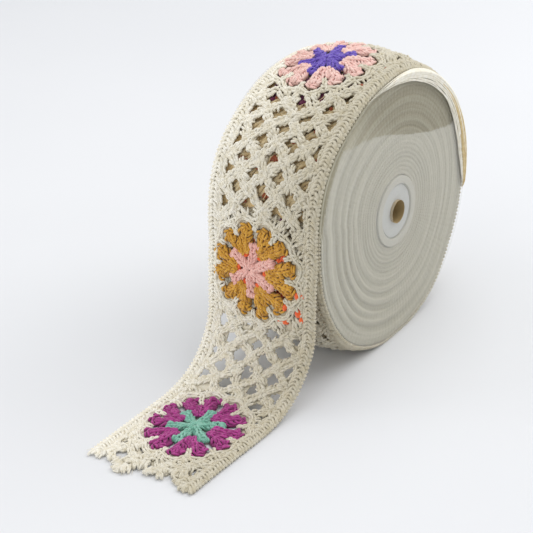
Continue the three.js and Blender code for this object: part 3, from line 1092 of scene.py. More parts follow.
    def _rounds(self, rng: np.random.Generator) -> bpy.types.Object:
        """Crochets the cream stitches about the petals.

        A chain and three cords follow the lobes, their radius swinging in and out twelve times;
        short posts stand out from them towards the net; and points reach into each notch.

        Args:
            rng: Where the untidiness comes from.

        Returns:
            The rounds.
        """
        skein = Skein()
        pitch = 3.0
        number = int(2 * math.pi * self.round_radius / pitch)
        angle = 2 * np.pi * np.arange(number) / number
        phase = 12 * (angle - np.radians(15))
        base = self._from_polar(self.round_radius + 0.6 + self.swing * np.cos(phase), angle)
        slope = -12 * self.swing * np.sin(phase) / self.round_radius
        heading = angle + self.turned + np.pi / 2 - np.arctan(slope)
        kept = np.abs(base[:, 1]) < self.inside
        stitch = Stitch(girth=1.0, untidy=0.18, rise=1.5, steps=self.steps)
        stitch.work(skein, rng, base[kept], heading[kept], pitch, 4.6)
        turn = np.linspace(0, 2 * np.pi, 217)
        phase = 12 * (turn - np.radians(15))
        for out, swing, high in self.cords:
            radius = self.round_radius + out + swing * np.cos(phase) + 0.25 * np.sin(7.3 * turn)
            height = high + 0.4 * np.sin(29 * turn + out) + 0.2 * np.sin(61 * turn)
            path = np.column_stack([self._from_polar(radius, turn), height])
            path[:, 1] = np.clip(path[:, 1], -self.inside - 0.1, self.inside + 0.1)
            skein.add_tubes(path[None], np.full((1, len(turn)), 0.85), 5)
        posts = np.arange(self.posts) * 2 * np.pi / self.posts + rng.normal(0, 0.03, self.posts)
        base = self._from_polar(self.round_radius + 2.4 + rng.normal(0, 0.4, self.posts), posts)
        kept = np.abs(base[:, 1]) < 35
        aim = posts[kept] + self.turned + rng.normal(0, 0.15, int(kept.sum()))
        stitch = Stitch(girth=1.0, untidy=0.2, rise=1.5, steps=self.steps)
        stitch.work(skein, rng, base[kept], aim, 3.8, 5.0)
        notch = np.radians(np.arange(0, 360, 30.0)) + rng.normal(0, 0.02, 12)
        deep = np.where(np.arange(12) % 2 == 0, 29.5, 26.5) + rng.normal(0, 0.5, 12)
        base, heading, pitch, share = strung(
            self._from_polar(np.full(12, 38.5), notch), self._from_polar(deep, notch), 3.4
        )
        kept = np.abs(base[:, 1]) < 39
        width = 6.2 - 3.2 * share[kept]
        stitch = Stitch(girth=0.98, untidy=0.14, rise=1.2, floor=1.9, steps=self.steps)
        stitch.work(skein, rng, base[kept], heading[kept], pitch[kept], width)
        return finished(skein.make(f"{self.name}_rounds"), Yarn.CREAM.value)

    def build(self, rng: np.random.Generator) -> list[bpy.types.Object]:
        """Crochets the whole flower.

        Args:
            rng: Where the untidiness comes from.

        Returns:
            Its star, petals and rounds.
        """
        return [self._star(rng), self._petals(rng), self._rounds(rng)]


@dataclass(frozen=True)
class LaceNet:
    """The diamond net of chains between the selvedges."""

    start: float
    stop: float
    motifs: tuple[FlowerMotif, ...]
    width: float = 7.6
    girth: float = 1.04
    pitch: float = 3.5
    stray: float = 0.55
    knot: float = 5.7
    row: float = 11.0
    place: float = 22.0
    row_at: float = 57.0
    clear: float = 41.5
    widest: float = 35.0
    wander: tuple[float, float] = (0.9, 1.5)
    bend: float = 0.9
    loop: float = 5.6
    knot_loops: int = 7
    knot_loop: float = 4.8
    sides: int = 5

    def joint(self, row: Array, spot: Array) -> Array:
        """Gives where chains meet, and the gaps' middles.

        Args:
            row: Rows, counted down the loose end.
            spot: Which place across, from the middle.

        Returns:
            Places (along, across), moved about by small sines of the row and the place.
        """
        along = self.row_at + self.row * row + self.wander[0] * np.sin(2.1 * row + 3.7 * spot)
        across = self.place * spot + self.wander[1] * np.sin(1.3 * row + 5.1 * spot)
        return np.stack([along, across], axis=-1)

    def bars(self) -> tuple[Array, Array]:
        """Lists the net's chains.

        Returns:
            Their starts and ends: each joint of an even row, at 0 or a whole place to either side,
            is joined to the half places beside it in the rows before and after.
        """
        first = math.floor((self.start - self.row_at) / self.row) - 1
        last = math.ceil((self.stop - self.row_at) / self.row) + 1
        rows = np.arange(first, last + 1)
        even = rows[rows % 2 == 0]
        row, half, ahead, aside = (
            axis.ravel()
            for axis in np.meshgrid(even, np.array([-2, 0, 2]), np.array([-1, 1]), np.array([-1, 1]))
        )
        return self.joint(row, half / 2), self.joint(row + ahead, (half + aside) / 2)

    def bent(self, places: Array) -> Array:
        """Bends the net a little out of its straight lines, by sines of the place on the trim.

        Args:
            places: Places, with along and across first.

        Returns:
            The places moved, the rest of their columns as they were.
        """
        along, across = places[..., 0], places[..., 1]
        moved = places.copy()
        moved[..., 0] += self.bend * np.sin(0.31 * across + 0.13 * along)
        moved[..., 1] += self.bend * np.sin(0.37 * along + 0.21 * across + 1.0)
        return moved

    def _kept(self, places: Array) -> Mask:
        """Tells which places are on this stretch and clear of its flowers.

        Args:
            places: Places, with along and across first.

        Returns:
            True where the net is worked.
        """
        kept = (places[..., 0] > self.start) & (places[..., 0] < self.stop)
        for motif in self.motifs:
            kept &= motif.clear_of(places, self.clear)
        return kept

    def crochet(self, skein: Skein, rng: np.random.Generator) -> None:
        """Works the chains, stray loops and a felted strand on each, and a knot where they meet.

        Args:
            skein: What takes the yarn.
            rng: Where the untidiness comes from.
        """
        starts, ends = self.bars()
        base, heading, pitch, _ = strung(starts, ends, self.pitch)
        kept = self._kept(base)
        base, heading, pitch = self.bent(base[kept]), heading[kept], pitch[kept]
        stitch = Stitch(girth=self.girth, untidy=0.3, rise=1.6, floor=self.girth, sides=self.sides)
        beside = np.column_stack([-np.sin(heading), np.cos(heading)])
        for hand in (-1.0, 1.0):
            spot = base + hand * 0.24 * self.width * beside + rng.normal(0, 0.35, base.shape)
            lift = rng.uniform(0, 0.6, len(base))
            stitch.work(skein, rng, spot, heading, pitch, self.width * 0.54, lift)
        strays = rng.random(len(base)) < self.stray
        count = int(strays.sum())
        hand = np.where(rng.random(count) < 0.5, -1.0, 1.0)
        out = hand * self.width * rng.uniform(0.0, 0.5, count)
        spot = base[strays] + out[:, None] * beside[strays]
        aim = heading[strays] + rng.normal(0, 0.6, count)
        stray = Stitch(girth=self.girth * 0.85, rise=2.0, floor=1.5, sides=self.sides)
        stray.loops(skein, rng, spot, aim, self.loop)
        share = np.linspace(0, 1, 5)[None, :, None]
        strand = starts[:, None] + (ends - starts)[:, None] * share
        inside = self._kept(strand).all(axis=1)
        height = np.full((*strand.shape[:2], 1), 1.0)
        core = self.bent(np.concatenate([strand, height], axis=-1)[inside])
        skein.add_tubes(core, self.width * 0.31, 5)
        joints = np.unique(np.round(np.concatenate([starts, ends]), 3), axis=0)
        joints = self.bent(joints[self._kept(joints) & (np.abs(joints[:, 1]) < self.widest)])
        count = len(joints)
        places = np.column_stack([joints, np.full(count, 0.9)])
        turn = rng.uniform(0, np.pi, count)
        size = self.knot * rng.uniform(0.75, 1.2, (2, count))
        skein.add_pads(places, turn, size[0], size[1], 1.6)
        about = (turn[:, None] + np.radians(51.5 * np.arange(self.knot_loops))[None]).ravel()
        reach = self.knot * rng.uniform(0.3, 0.85, len(about))
        spot = np.column_stack([np.cos(about), np.sin(about)]) * reach[:, None]
        spot += np.repeat(joints, self.knot_loops, axis=0)
        aim = about + rng.normal(1.2, 0.6, len(about))
        knot = Stitch(girth=self.girth, rise=1.5, floor=1.5, sides=self.sides)
        knot.loops(skein, rng, spot, aim, self.knot_loop)


@dataclass(frozen=True)
class Selvedge:
    """The column, the plait and the knotted cord along each edge of the trim."""

    start: float
    stop: float
    motifs: tuple[FlowerMotif, ...]
    inner: float = 35.2
    plait: float = 39.8
    edge: float = 43.8
    pitch: float = 2.7
    width: float = 6.6
    petals: float = 36.5
    bead: float = 2.88
    floor_rows: tuple[float, ...] = (35.6, 39.3, 42.2)

    def crochet(self, skein: Skein, rng: np.random.Generator) -> None:
        """Works the columns, plaits and cords of both edges, over plain floor rows of yarn.

        A cord's girth swells and shrinks, by the sine of the place along.

        Args:
            skein: What takes the yarn.
            rng: Where the untidiness comes from.
        """
        along = np.arange(self.start, self.stop, self.pitch)
        for hand in (-1.0, 1.0):
            base = np.column_stack([along, np.full_like(along, hand * self.plait)])
            base += rng.normal(0, 0.12, base.shape)
            Stitch(girth=1.17, untidy=0.4, floor=1.2).wrap(
                skein, rng, base, rng.normal(0, 0.14, len(base)), self.pitch, self.width, 1.65
            )
        base = np.column_stack([np.tile(along, 2), np.repeat([-self.inner, self.inner], len(along))])
        kept = np.ones(len(base), bool)
        for motif in self.motifs:
            kept &= motif.clear_of(base, self.petals)
        base = base[kept] + rng.normal(0, 0.3, (int(kept.sum()), 2))
        Stitch(girth=0.92, untidy=0.25, rise=1.2).work(
            skein, rng, base, rng.normal(0, 0.12, len(base)), self.pitch, 4.8
        )
        steps = np.arange(self.start, self.stop, self.bead / 4)
        swell = np.sin(2 * np.pi * steps / self.bead)
        for hand in (-1.0, 1.0):
            aside = hand * (self.edge + 0.2 * swell) + rng.normal(0, 0.1, len(steps))
            path = np.column_stack([steps, aside, np.full(len(steps), 1.8)])
            skein.add_tubes(path[None], (1.0 + 0.5 * swell)[None], 5)
        steps = np.arange(self.start, self.stop, 5.0)
        rows = np.outer((-1.0, 1.0), self.floor_rows).ravel()
        for row in rows:
            path = np.column_stack([steps, np.full(len(steps), row), np.full(len(steps), 1.3)])
            skein.add_tubes(path[None], 1.4, 6)


@dataclass(frozen=True)
class WoundTurns:
    """The turns beneath the two outer layers: a solid drum with ridged, uneven sides."""

    bore: float = 26.3
    turns: int = 23
    under: float = 2.9
    sunk: float = 4.5
    sunk_from: float = 38.0
    side: float = 45.7
    deepest: float = 2.2
    per_turn: int = 4
    round_steps: int = 200
    unevenest_at: float = 345.0
    mean_radius: float = 65.0

    def _outer(self, angle: Array) -> Array:
        """Gives the drum's radius, with the turn's thickness falling and caught up at its end.

        Args:
            angle: Angles from the front, in radians, from where the trim leaves the roll.

        Returns:
            The roll's radius at its edges less the two layers over it.
        """
        turned = np.degrees(angle)
        caught_up = ROUTE.turn * eased(turned, 368, 375)
        return ROUTE.wound_radius(turned, np.full_like(turned, ROUTE.half_width)) - self.under + caught_up

    def build(self, rng: np.random.Generator) -> bpy.types.Object:
        """Winds the drum as one closed shell, a profile carried round the axle.

        The sides are ribbed by the cosine of the share of a turn, less so outwards, and stand in
        or out by a sum of sines of the angle and of the share of the way out. The attribute
        "stand" then says how far out a place is, as a share of the deepest; the finish darkens the
        deeper places as painted shade.

        Args:
            rng: Where the unevenness comes from.

        Returns:
            The drum.
        """
        angle = np.radians(ROUTE.leaves_at + 360 * np.arange(self.round_steps) / self.round_steps)
        outer = self._outer(angle)
        share = np.linspace(0, 1, self.turns * self.per_turn + 1)
        turn = np.minimum((share * self.turns).astype(int), self.turns - 1)
        within = share * self.turns - turn
        out = share[:, None]
        strong = 0.35 + 0.65 * np.maximum(np.cos(angle - np.radians(self.unevenest_at)), 0)
        crease = (0.35 + 0.5 * rng.random((2, self.turns)))[:, turn, None] * (1 - 0.65 * out)
        valley = (0.5 + 0.5 * np.cos(2 * np.pi * within))[:, None]
        faces = []
        for face, hand in enumerate((-1.0, 1.0)):
            bands = np.zeros((len(share), self.round_steps))
            for rings in rng.uniform(4.0, 11.0, 8):
                arms, phase = rng.integers(-2, 3), rng.uniform(0, 2 * np.pi)
                bands += np.sin(arms * angle + 2 * np.pi * rings * out + phase)
            bands = np.tanh(0.7 * bands)
            sink = 1.0 + 0.68 * bands * strong * np.minimum(1.6 * out, 1) + crease[face] * valley
            radius = self.bore + (outer - self.bore)[None] * out + 0 * bands
            x = hand * (self.side - np.clip(sink, 0.05, self.deepest))
            faces.append(np.stack([x, radius], axis=-1))
        floor = (-self.sunk_from, self.sunk - self.under)
        brim = [(1.6 - self.side, -0.4), (-self.sunk_from - 1, 0), floor]
        brim += [(-x, drop) for x, drop in brim[::-1]]
        x, drop = (np.array(column)[:, None] for column in zip(*brim))
        turned = np.degrees(angle)
        edge = ROUTE.wound_radius(turned, ROUTE.half_width + 0 * x)
        flat = ROUTE.wound_radius(turned, x) - edge
        over = np.stack([x + 0 * angle, outer + flat - drop], axis=-1)
        profile = np.concatenate([faces[0], over, faces[1][::-1]])
        x, radius = profile[..., 0], profile[..., 1]
        z = np.maximum(radius * np.sin(angle), self.under * 0.9 - ROUTE.axle[2])
        points = np.stack([x, -radius * np.cos(angle), z], axis=-1) + ROUTE.axle
        reach = np.arange(self.round_steps + 1) / self.round_steps * 2 * np.pi * self.mean_radius
        level = self.turns * np.concatenate([share, np.array([1, 1, 1.1, 1.1, 1, 1]), share[::-1]])
        spin, then, here, there = np.broadcast_arrays(
            reach[:-1], reach[1:], level[:, None], np.roll(level, -1)[:, None]
        )
        chart = np.stack(
            [np.stack([spin, then, then, spin], axis=-1), np.stack([here, here, there, there], axis=-1)],
            axis=-1,
        )
        skein = Skein()
        skein.add_faces(points * MM, ringed(*points.shape[:2]), chart)
        drum = finished(skein.make("wound_turns", laid=False), WoundEdgeFinish())
        # Painted shade: how far out each place stands, read by the finish to darken the valleys.
        stand = (np.abs(x) - self.side + self.deepest) / self.deepest
        drum.data.attributes["stand"].data.foreach_set("value", stand.astype(np.float32).ravel())
        return drum


@dataclass(frozen=True)
class UnderTurn:
    """The layer of lace under the outer one, seen through its gaps."""

    start: float
    stop: float
    lift: float = -3.1
    phase: tuple[float, float] = (5.5, 5.0)
    flowers: tuple[tuple[float, float, Yarn, Yarn], ...] = (
        (-146, -3, Yarn.PLUM, Yarn.PLUM),
        (-298, 2, Yarn.MUSTARD, Yarn.BROWN),
        (-450, -2, Yarn.ORANGE, Yarn.BROWN),
    )
    margin: float = 6.0
    apart: float = 2.9
    flower_edge: float = 36.0
    # The brown pads of painted shade in the gaps' corners: how far across they may lie, how far aside of
    # a joint, and how many.
    spot_edge: float = 34.0
    beside: float = 6.8
    spotted: float = 0.45
    strand: float = 1.7
    edge: float = 36.5
    patch: float = 2.6
    # The brown specks and the orange one are painted shade: warm shade deep in the gaps.
    specks: tuple[tuple[float, float, Yarn], ...] = (
        (-90, -30, Yarn.BROWN),
        (-58, -25, Yarn.BROWN),
        (-67, 3, Yarn.BROWN),
        (-53, 18, Yarn.BROWN),
        (-42, 3, Yarn.BROWN),
        (-38, -15, Yarn.BROWN),
        (-27, 0, Yarn.PLUM),
        (-22, 15, Yarn.PLUM),
        (-175, 30, Yarn.ORANGE),
        (-112, -27, Yarn.PLUM),
        (-110, -5, Yarn.PLUM),
        (-113, 15, Yarn.PLUM),
        (-125, 22, Yarn.PLUM),
        (-137, 28, Yarn.BROWN),
    )

    def _net(self, rng: np.random.Generator) -> bpy.types.Object:
        """Lays three wavy strands along each chain of a net that is set off from the outer one.

        A strand swings from side to side by a sine of its share of the way.

        Args:
            rng: Where the untidiness comes from.

        Returns:
            The strands.
        """
        net = LaceNet(self.start, self.stop, ())
        starts, ends = (end + np.array(self.phase) for end in net.bars())
        kept = (starts[:, 0] > self.start + self.margin) & (starts[:, 0] < self.stop - self.margin)
        kept &= (ends[:, 0] > self.start) & (ends[:, 0] < self.stop)
        low, high = (-np.inf, -self.edge), (np.inf, self.edge)
        starts, ends = (np.clip(end[kept], low, high) for end in (starts, ends))
        skein = Skein(ground=self.lift)
        share = np.linspace(-0.06, 1.06, 5)[None, None, :]
        strand = np.array([-1.0, 0, 1])[None, :, None]
        run = (ends - starts)[:, None, None] * rng.uniform(0.85, 1.15, (len(starts), 1, 1, 1))
        start_at = rng.uniform(0, 2 * np.pi, (len(starts), 3, 1))
        aside = self.apart * strand + 1.0 * np.sin(2 * np.pi * share * 1.2 + start_at)
        length = np.linalg.norm(run, axis=-1)
        across = np.stack([-run[..., 1], run[..., 0]], axis=-1) / length[..., None]
        flat = starts[:, None, None] + run * share[..., None] + across * aside[..., None]
        height = self.lift + 1.35 + 0.5 * np.cos(2 * np.pi * share * 1.2 + start_at)
        paths = np.concatenate([flat, height[..., None]], axis=-1).reshape(-1, 5, 3)
        skein.add_tubes(paths, self.strand, 5)
        return finished(skein.make("under_turn_lace"), Yarn.UNDER.value)

    def _patches(
        self, name: str, places: Array, yarn: Yarn, rng: np.random.Generator
    ) -> bpy.types.Object:
        """Stitches three short coloured chains about each of some places of the layer.

        Args:
            name: The piece's name.
            places: Middles of the patches.
            yarn: Their yarn.
            rng: Where the untidiness comes from.

        Returns:
            The patches.
        """
        skein = Skein(ground=self.lift)
        turn = rng.uniform(0, 2 * np.pi, (len(places), 3))
        reach = self.patch * np.sqrt((np.arange(3) + 0.4) / 3)[None]
        spot = places[:, None] + np.stack([reach * np.cos(turn), reach * np.sin(turn)], axis=-1)
        Stitch(girth=1.15, untidy=0.3, rise=0.8, floor=1.9, steps=4).work(
            skein, rng, spot.reshape(-1, 2), turn.ravel() + 1.2, 3.4, 4.0, self.lift
        )
        return finished(skein.make(name), yarn.value)

    def build(self, rng: np.random.Generator) -> list[bpy.types.Object]:
        """Crochets the layer, its hidden flowers and the coloured bits in the gaps, some painted shade.

        Args:
            rng: Where the untidiness comes from.

        Returns:
            Its pieces.
        """
        pieces = [self._net(rng)]
        for number, (along, across, star, petals) in enumerate(self.flowers):
            ring = np.radians(np.arange(0, 360, 24))
            for part, yarn, radii in (("star", star, (4, 12)), ("petals", petals, (20, 26, 32))):
                rays = np.column_stack([np.cos(ring), np.sin(ring)])
                places = np.concatenate([radius * rays for radius in radii]) + (along, across)
                places = places[np.abs(places[:, 1]) < self.flower_edge]
                pieces.append(self._patches(f"under_flower_{number}_{part}", places, yarn, rng))
        # Painted shade: small brown pads at corners of the gaps, where shade gathers under the outer net.
        ends = np.concatenate(LaceNet(self.start, self.stop, ()).bars())
        joints = np.unique(np.round(ends, 3), axis=0)
        spotted = (rng.random(len(joints)) < self.spotted) & (np.abs(joints[:, 1]) < self.spot_edge)
        joints = joints[spotted]
        side = np.where(rng.random(len(joints)) < 0.5, -1.0, 1.0)
        corner = joints + np.column_stack([self.beside * side, rng.normal(0, 1.0, len(joints))])
        skein = Skein(ground=-3.0)
        places = np.column_stack([corner, np.full(len(corner), -0.5)])
        size = rng.uniform(1.3, 2.3, (2, len(corner)))
        skein.add_pads(places, rng.uniform(0, np.pi, len(corner)), size[0], size[1], 1.3)
        pieces.append(finished(skein.make("under_corner_painted_shade"), Yarn.BROWN.value))
        for yarn in (Yarn.BROWN, Yarn.PLUM, Yarn.ORANGE):
            spots = np.array([(a, x) for a, x, tone in self.specks if tone is yarn], float)
            pieces.append(self._patches(f"under_specks_{yarn.name.lower()}", spots, yarn, rng))
        return pieces


@dataclass(frozen=True)
class OuterTurn:
    """The outer turn of lace on the roll, with its flowers."""

    motifs: tuple[FlowerMotif, ...] = (
        FlowerMotif("top_flower", -156, -8, Yarn.PURPLE, Yarn.PALE_PINK, star_width=12.6),
        FlowerMotif("back_flower", -308, 3, Yarn.GREEN, Yarn.BLUE, turned=0.15),
        FlowerMotif("low_flower", -460, -2, Yarn.MUSTARD, Yarn.MAGENTA, plain=True, turned=-0.1),
        FlowerMotif("front_flower", -613, 5, Yarn.ORANGE, Yarn.ORANGE, plain=True, turned=0.3),
    )
    bits: tuple[tuple[float, float, float], ...] = (
        # along, across, size
        (-154, 32, 2.6),
        (-136, 32, 2.6),
        (-164, 34, 1.7),
        (-163, 13, 2.0),
    )
    slipped: tuple[tuple[float, float], ...] = (
        # angle from the front, depth inside the rim
        (68, 0),
        (80, 2),
        (95, 5),
        (110, 7.5),
        (140, 8),
        (160, 10.5),
        (172, 9.5),
        (184, 5.5),
        (192, 0),
    )
    halves_meet: float = -345.0
    slip_steps: float = 1.5
    whole: tuple[float, ...] = (-0.3, 0.0, 0.18, 0.36, 0.54, 0.72, 0.88, 1.0)
    # Strands tinted straw as painted light, for the amber glow in the clear disc's edge.
    straw_glow: tuple[tuple[float, float], ...] = (
        # angle where it starts, share of the depth
        (122, 0.09),
        (98, 0.24),
        (116, 0.39),
        (136, 0.54),
    )

    def build(self, rng: np.random.Generator) -> list[bpy.types.Object]:
        """Crochets the net, the selvedges and the flowers.

        Args:
            rng: Where the untidiness comes from.

        Returns:
            Its pieces.
        """
        pieces = []
        for half, low, high, sides in (
            ("back", ROUTE.roll_end + 2, self.halves_meet, 4),
            ("front", self.halves_meet, ROUTE.loose_from, 5),
        ):
            skein = Skein()
            LaceNet(low, high, self.motifs, sides=sides).crochet(skein, rng)
            pieces.append(finished(skein.make(f"roll_net_{half}"), Yarn.CREAM.value))
            skein = Skein(ground=-1.2)
            Selvedge(low, high, self.motifs).crochet(skein, rng)
            pieces.append(finished(skein.make(f"roll_selvedges_{half}"), Yarn.CREAM.value))
        for motif in self.motifs:
            pieces += motif.build(rng)
        skein = Skein(ground=-2.0)
        bits = np.array(self.bits, float)
        places = np.column_stack([bits[:, :2], np.full(len(bits), 1.5)])
        skein.add_pads(places, rng.uniform(0, np.pi, len(bits)), bits[:, 2], 0.8 * bits[:, 2], 1.2)
        pieces.append(finished(skein.make("top_flower_bits"), Yarn.BROWN.value))
        return pieces + self._overhang()

    def _overhang(self) -> list[bpy.types.Object]:
        """Lays the strands of the turn's edge that have slipped over the near disc's rim.

        Each runs round the roll, its depth inside the rim a share of a table of the angle, and
        thins by the square root of that depth. A share under 0 is a strand beneath the slip.

        Returns:
            The cream strands, and the ones under them tinted straw as painted light: the amber glow in
            the clear disc's edge.
        """
        angles, depths = np.array(self.slipped, float).T
        first, last = angles[[0, -1]]
        pieces = []
        for name, yarn, strands in (
            ("roll_edge_over_disc", Yarn.EDGE, tuple((first, share) for share in self.whole)),
            ("roll_edge_over_disc_straw", Yarn.STRAW_GLOW, self.straw_glow),
        ):
            skein = Skein(ground=-30.0)
            for start, share in strands:
                angle = np.arange(start, last + 0.5, self.slip_steps)
                deep = np.interp(angle, angles, depths)
                thick = (0.2 + 0.3 * np.sqrt(deep) + 0.02 * deep) * (1 - 0.65 * max(share, 0.0))
                thick = thick * np.clip((angle - start) / 35, 0.1, 1)
                sway = 0.2 * np.sin(np.radians(angle) * (9 + 5 * share) + 6 * share)
                across = ROUTE.disc_face - 0.2 + 0.5 * thick * (1 - 0.5 * share) + 0.25 * (start > 100)
                across = across - 1.6 * np.clip(1 - deep / 2.5, 0, 1)
                across = across if share >= 0 else np.full_like(angle, ROUTE.half_width + 0.2)
                height = 1.1 - max(share, 0.0) * deep + sway * np.minimum(deep, 1)
                along = -np.radians(angle) * ROUTE.arc_radius
                skein.add_tubes(np.column_stack([along, across, height])[None], thick[None], 6)
            pieces.append(finished(skein.make(name), yarn.value))
        return pieces


@dataclass(frozen=True)
class LooseEnd:
    """The end of the trim that hangs from the roll and lies out on the table to its cut."""

    motifs: tuple[FlowerMotif, ...] = (
        FlowerMotif("hanging_flower", 14, -5, Yarn.PINK, Yarn.MUSTARD, lean=-4.0),
        FlowerMotif("lying_flower", 150, -1, Yarn.TURQUOISE, Yarn.MAGENTA),
    )
    tufts: tuple[tuple[float, float], ...] = (
        (-46, 5),
        (-38, 5),
        (-33, 16),
        (-27, 17),
        (-21, 4),
        (-15, -1.5),
        (-11, 0),
        (-8, 17),
        (-3, 9),
        (5, 6.5),
        (10, 17),
        (16, 17.5),
        (22, 12),
        (30, 8),
        (38, 4.5),
        (46, 12),
    )
    specks: tuple[tuple[float, float, float], ...] = (
        # along, across, size
        (24, 30, 3.2),
        (22.5, 33, 2.0),
        (35, 20, 2.4),
        (36, 31, 3.4),
        (40, 33.5, 2.2),
        (46, 16, 2.4),
        (44, 21, 3.0),
    )
    strands: tuple[tuple[int, float, float, int], ...] = (
        # how many at each tuft, girth, length, steps
        (7, 1.25, 6.5, 7),
        (9, 0.22, 8.5, 6),
    )
    worked_to: float = 6.5
    gap: tuple[float, float] = (5.4, 6.2)
    grid: float = 1.5
    felt: float = 1.0
    cloth_edge: float = 43.5
    cloth_short: float = 3.0
    cloth_height: float = 0.35
    knot_reach: float = 4.5
    arm: tuple[float, float] = (2.2, 19.0)
    ring: tuple[float, float, float] = (31.8, 39.0, 42.0)
    ring_edge: float = 34.0
    petal_end: float = 31.0
    petal_reach: tuple[float, ...] = (13, 15, 21, 29, 33.5)
    petal_spread: tuple[float, ...] = (2, 17, 20, 22.5, 22.5)

    def _cut(self, across: Array) -> Array:
        """Gives how far down the trim the cut is."""
        table = np.array(self.tufts, float)
        return ROUTE.cut_at - np.interp(across, table[:, 0], table[:, 1])

    def _open(self, places: Array) -> Array:
        """Measures how far inside a gap of the net each place is.

        Args:
            places: Places (along, across).

        Returns:
            1 less the distance from the nearest gap's middle, in shares of the gap's half sizes,
            once the net's bend is taken out.
        """
        net = LaceNet(ROUTE.loose_from, ROUTE.cut_at, self.motifs)
        first = round((ROUTE.loose_from - net.row_at) / net.row) - 1
        last = round((ROUTE.cut_at - net.row_at) / net.row) + 1
        best = np.full(places.shape[:-1], -9.0)
        places = 2 * places - net.bent(places)
        for row in range(first, last + 1):
            spots = (-1.4, -0.5, 0.5, 1.4) if row % 2 == 0 else (-1.0, 0.0, 1.0)
            for spot in spots:
                centre = net.joint(row, spot)
                if any(not motif.clear_of(centre, motif.round_radius + 6) for motif in self.motifs):
                    continue
                out = np.abs(places - centre) / np.array(self.gap)
                best = np.maximum(best, 1 - (out**1.6).sum(axis=-1) ** (1 / 1.6))
        return best

    def _cloth(self) -> bpy.types.Object:
        """Makes the felted ground of the lace: a thin sheet with the gaps left out.

        Its faces lie on a grid along and across. Those in a gap of the net, past the cut or
        between a flower's arms and petals are left out.

        Returns:
            The sheet.
        """
        along = np.arange(ROUTE.loose_from, ROUTE.cut_at + self.grid, self.grid)
        across = np.arange(-self.cloth_edge, self.cloth_edge + 0.1, self.grid)
        flat = np.stack(np.meshgrid(along, across, indexing="ij"), axis=-1)
        middle = (flat[:-1, :-1] + flat[1:, 1:]) / 2
        shut = self._open(middle) < 0.02
        shut &= middle[..., 0] < self._cut(middle[..., 1]) - self.cloth_short
        half_arm, arm_end = self.arm
        inner, outer, beyond = self.ring
        for motif in self.motifs:
            out = middle - motif.middle
            reach = np.hypot(out[..., 0], out[..., 1])
            turn = np.degrees(np.arctan2(out[..., 1], out[..., 0])) - math.degrees(motif.turned)
            from_petal = np.abs(np.mod(turn, 60) - 30)
            wide = np.interp(reach, self.petal_reach, self.petal_spread)
            arm = ((30 - from_petal) / 57.3 * reach < half_arm) & (reach < arm_end)
            off_edge = np.abs(middle[..., 1]) <= self.ring_edge
            around = (reach > inner) & ~(off_edge & (reach >= outer) & (reach <= beyond))
            petal = (from_petal < wide) & (reach > self.petal_reach[0]) & (reach < self.petal_end)
            shut &= (reach < self.knot_reach) | arm | petal | around
        index = np.arange(flat.size // 2).reshape(flat.shape[:2])
        quads = np.stack([index[:-1, :-1], index[1:, :-1], index[1:, 1:], index[:-1, 1:]], axis=-1)[shut]
        height = np.full((*flat.shape[:2], 1), self.cloth_height)
        places = np.concatenate([flat, height], axis=-1).reshape(-1, 3)
        used, fresh = np.unique(quads, return_inverse=True)
        quads, places = fresh.reshape(quads.shape), places[used]
        skein = Skein(ground=-1.6)
        skein.add_faces(places, quads, places[quads][..., :2])
        sheet = skein.make("loose_end_cloth")
        wall = sheet.modifiers.new("felt", "SOLIDIFY")
        wall.thickness = self.felt * MM
        wall.offset = 1
        finished(sheet, Yarn.CREAM.value)
        return sheet

    def _frays(self, rng: np.random.Generator) -> bpy.types.Object:
        """Frays the cut: bent ends of yarn at each tuft, with finer hairs among them.

        A strand's path bends away to a side by the square of its share.

        Args:
            rng: Where the bends come from.

        Returns:
            The frayed ends.
        """
        skein = Skein(ground=-1.8)
        table = np.array(self.tufts[1:-1], float)
        across, back = table.T
        places = np.column_stack([ROUTE.cut_at - back - 3.0, across, np.full(len(table), 1.2)])
        size = rng.uniform(2.6, 4.0, (2, len(table)))
        skein.add_pads(places, rng.uniform(0, np.pi, len(table)), size[0], size[1], 1.2)
        for per_tuft, girth, length, steps in self.strands:
            root = np.repeat(table, per_tuft, axis=0)
            count = len(root)
            share = np.linspace(0, 1, steps)[None]
            reach = length * rng.uniform(0.6, 1.15, (count, 1))
            aim = rng.normal(0, 0.35, (count, 1))
            bend = rng.normal(0, 0.35, (count, 1))
            start = root[:, :1] + rng.uniform(-2.6, 2.6, (count, 1))
            tip = ROUTE.cut_at - root[:, 1:] + rng.uniform(-2.2, 1.0, (count, 1))
            turn = aim + bend * share
            along = tip - reach * (1 - share) * np.cos(aim)
            across = start + reach * share * np.sin(turn)
            height = rng.uniform(0.8, 2.4, (count, 1))
            height = height + 0.8 * np.sin(np.pi * share) * rng.random((count, 1))
            paths = np.stack([along, across, height], axis=-1)
            skein.add_tubes(paths, girth * (1 - 0.45 * share**2), 5)
        return finished(skein.make("cut_end_frays"), Yarn.CREAM.value)

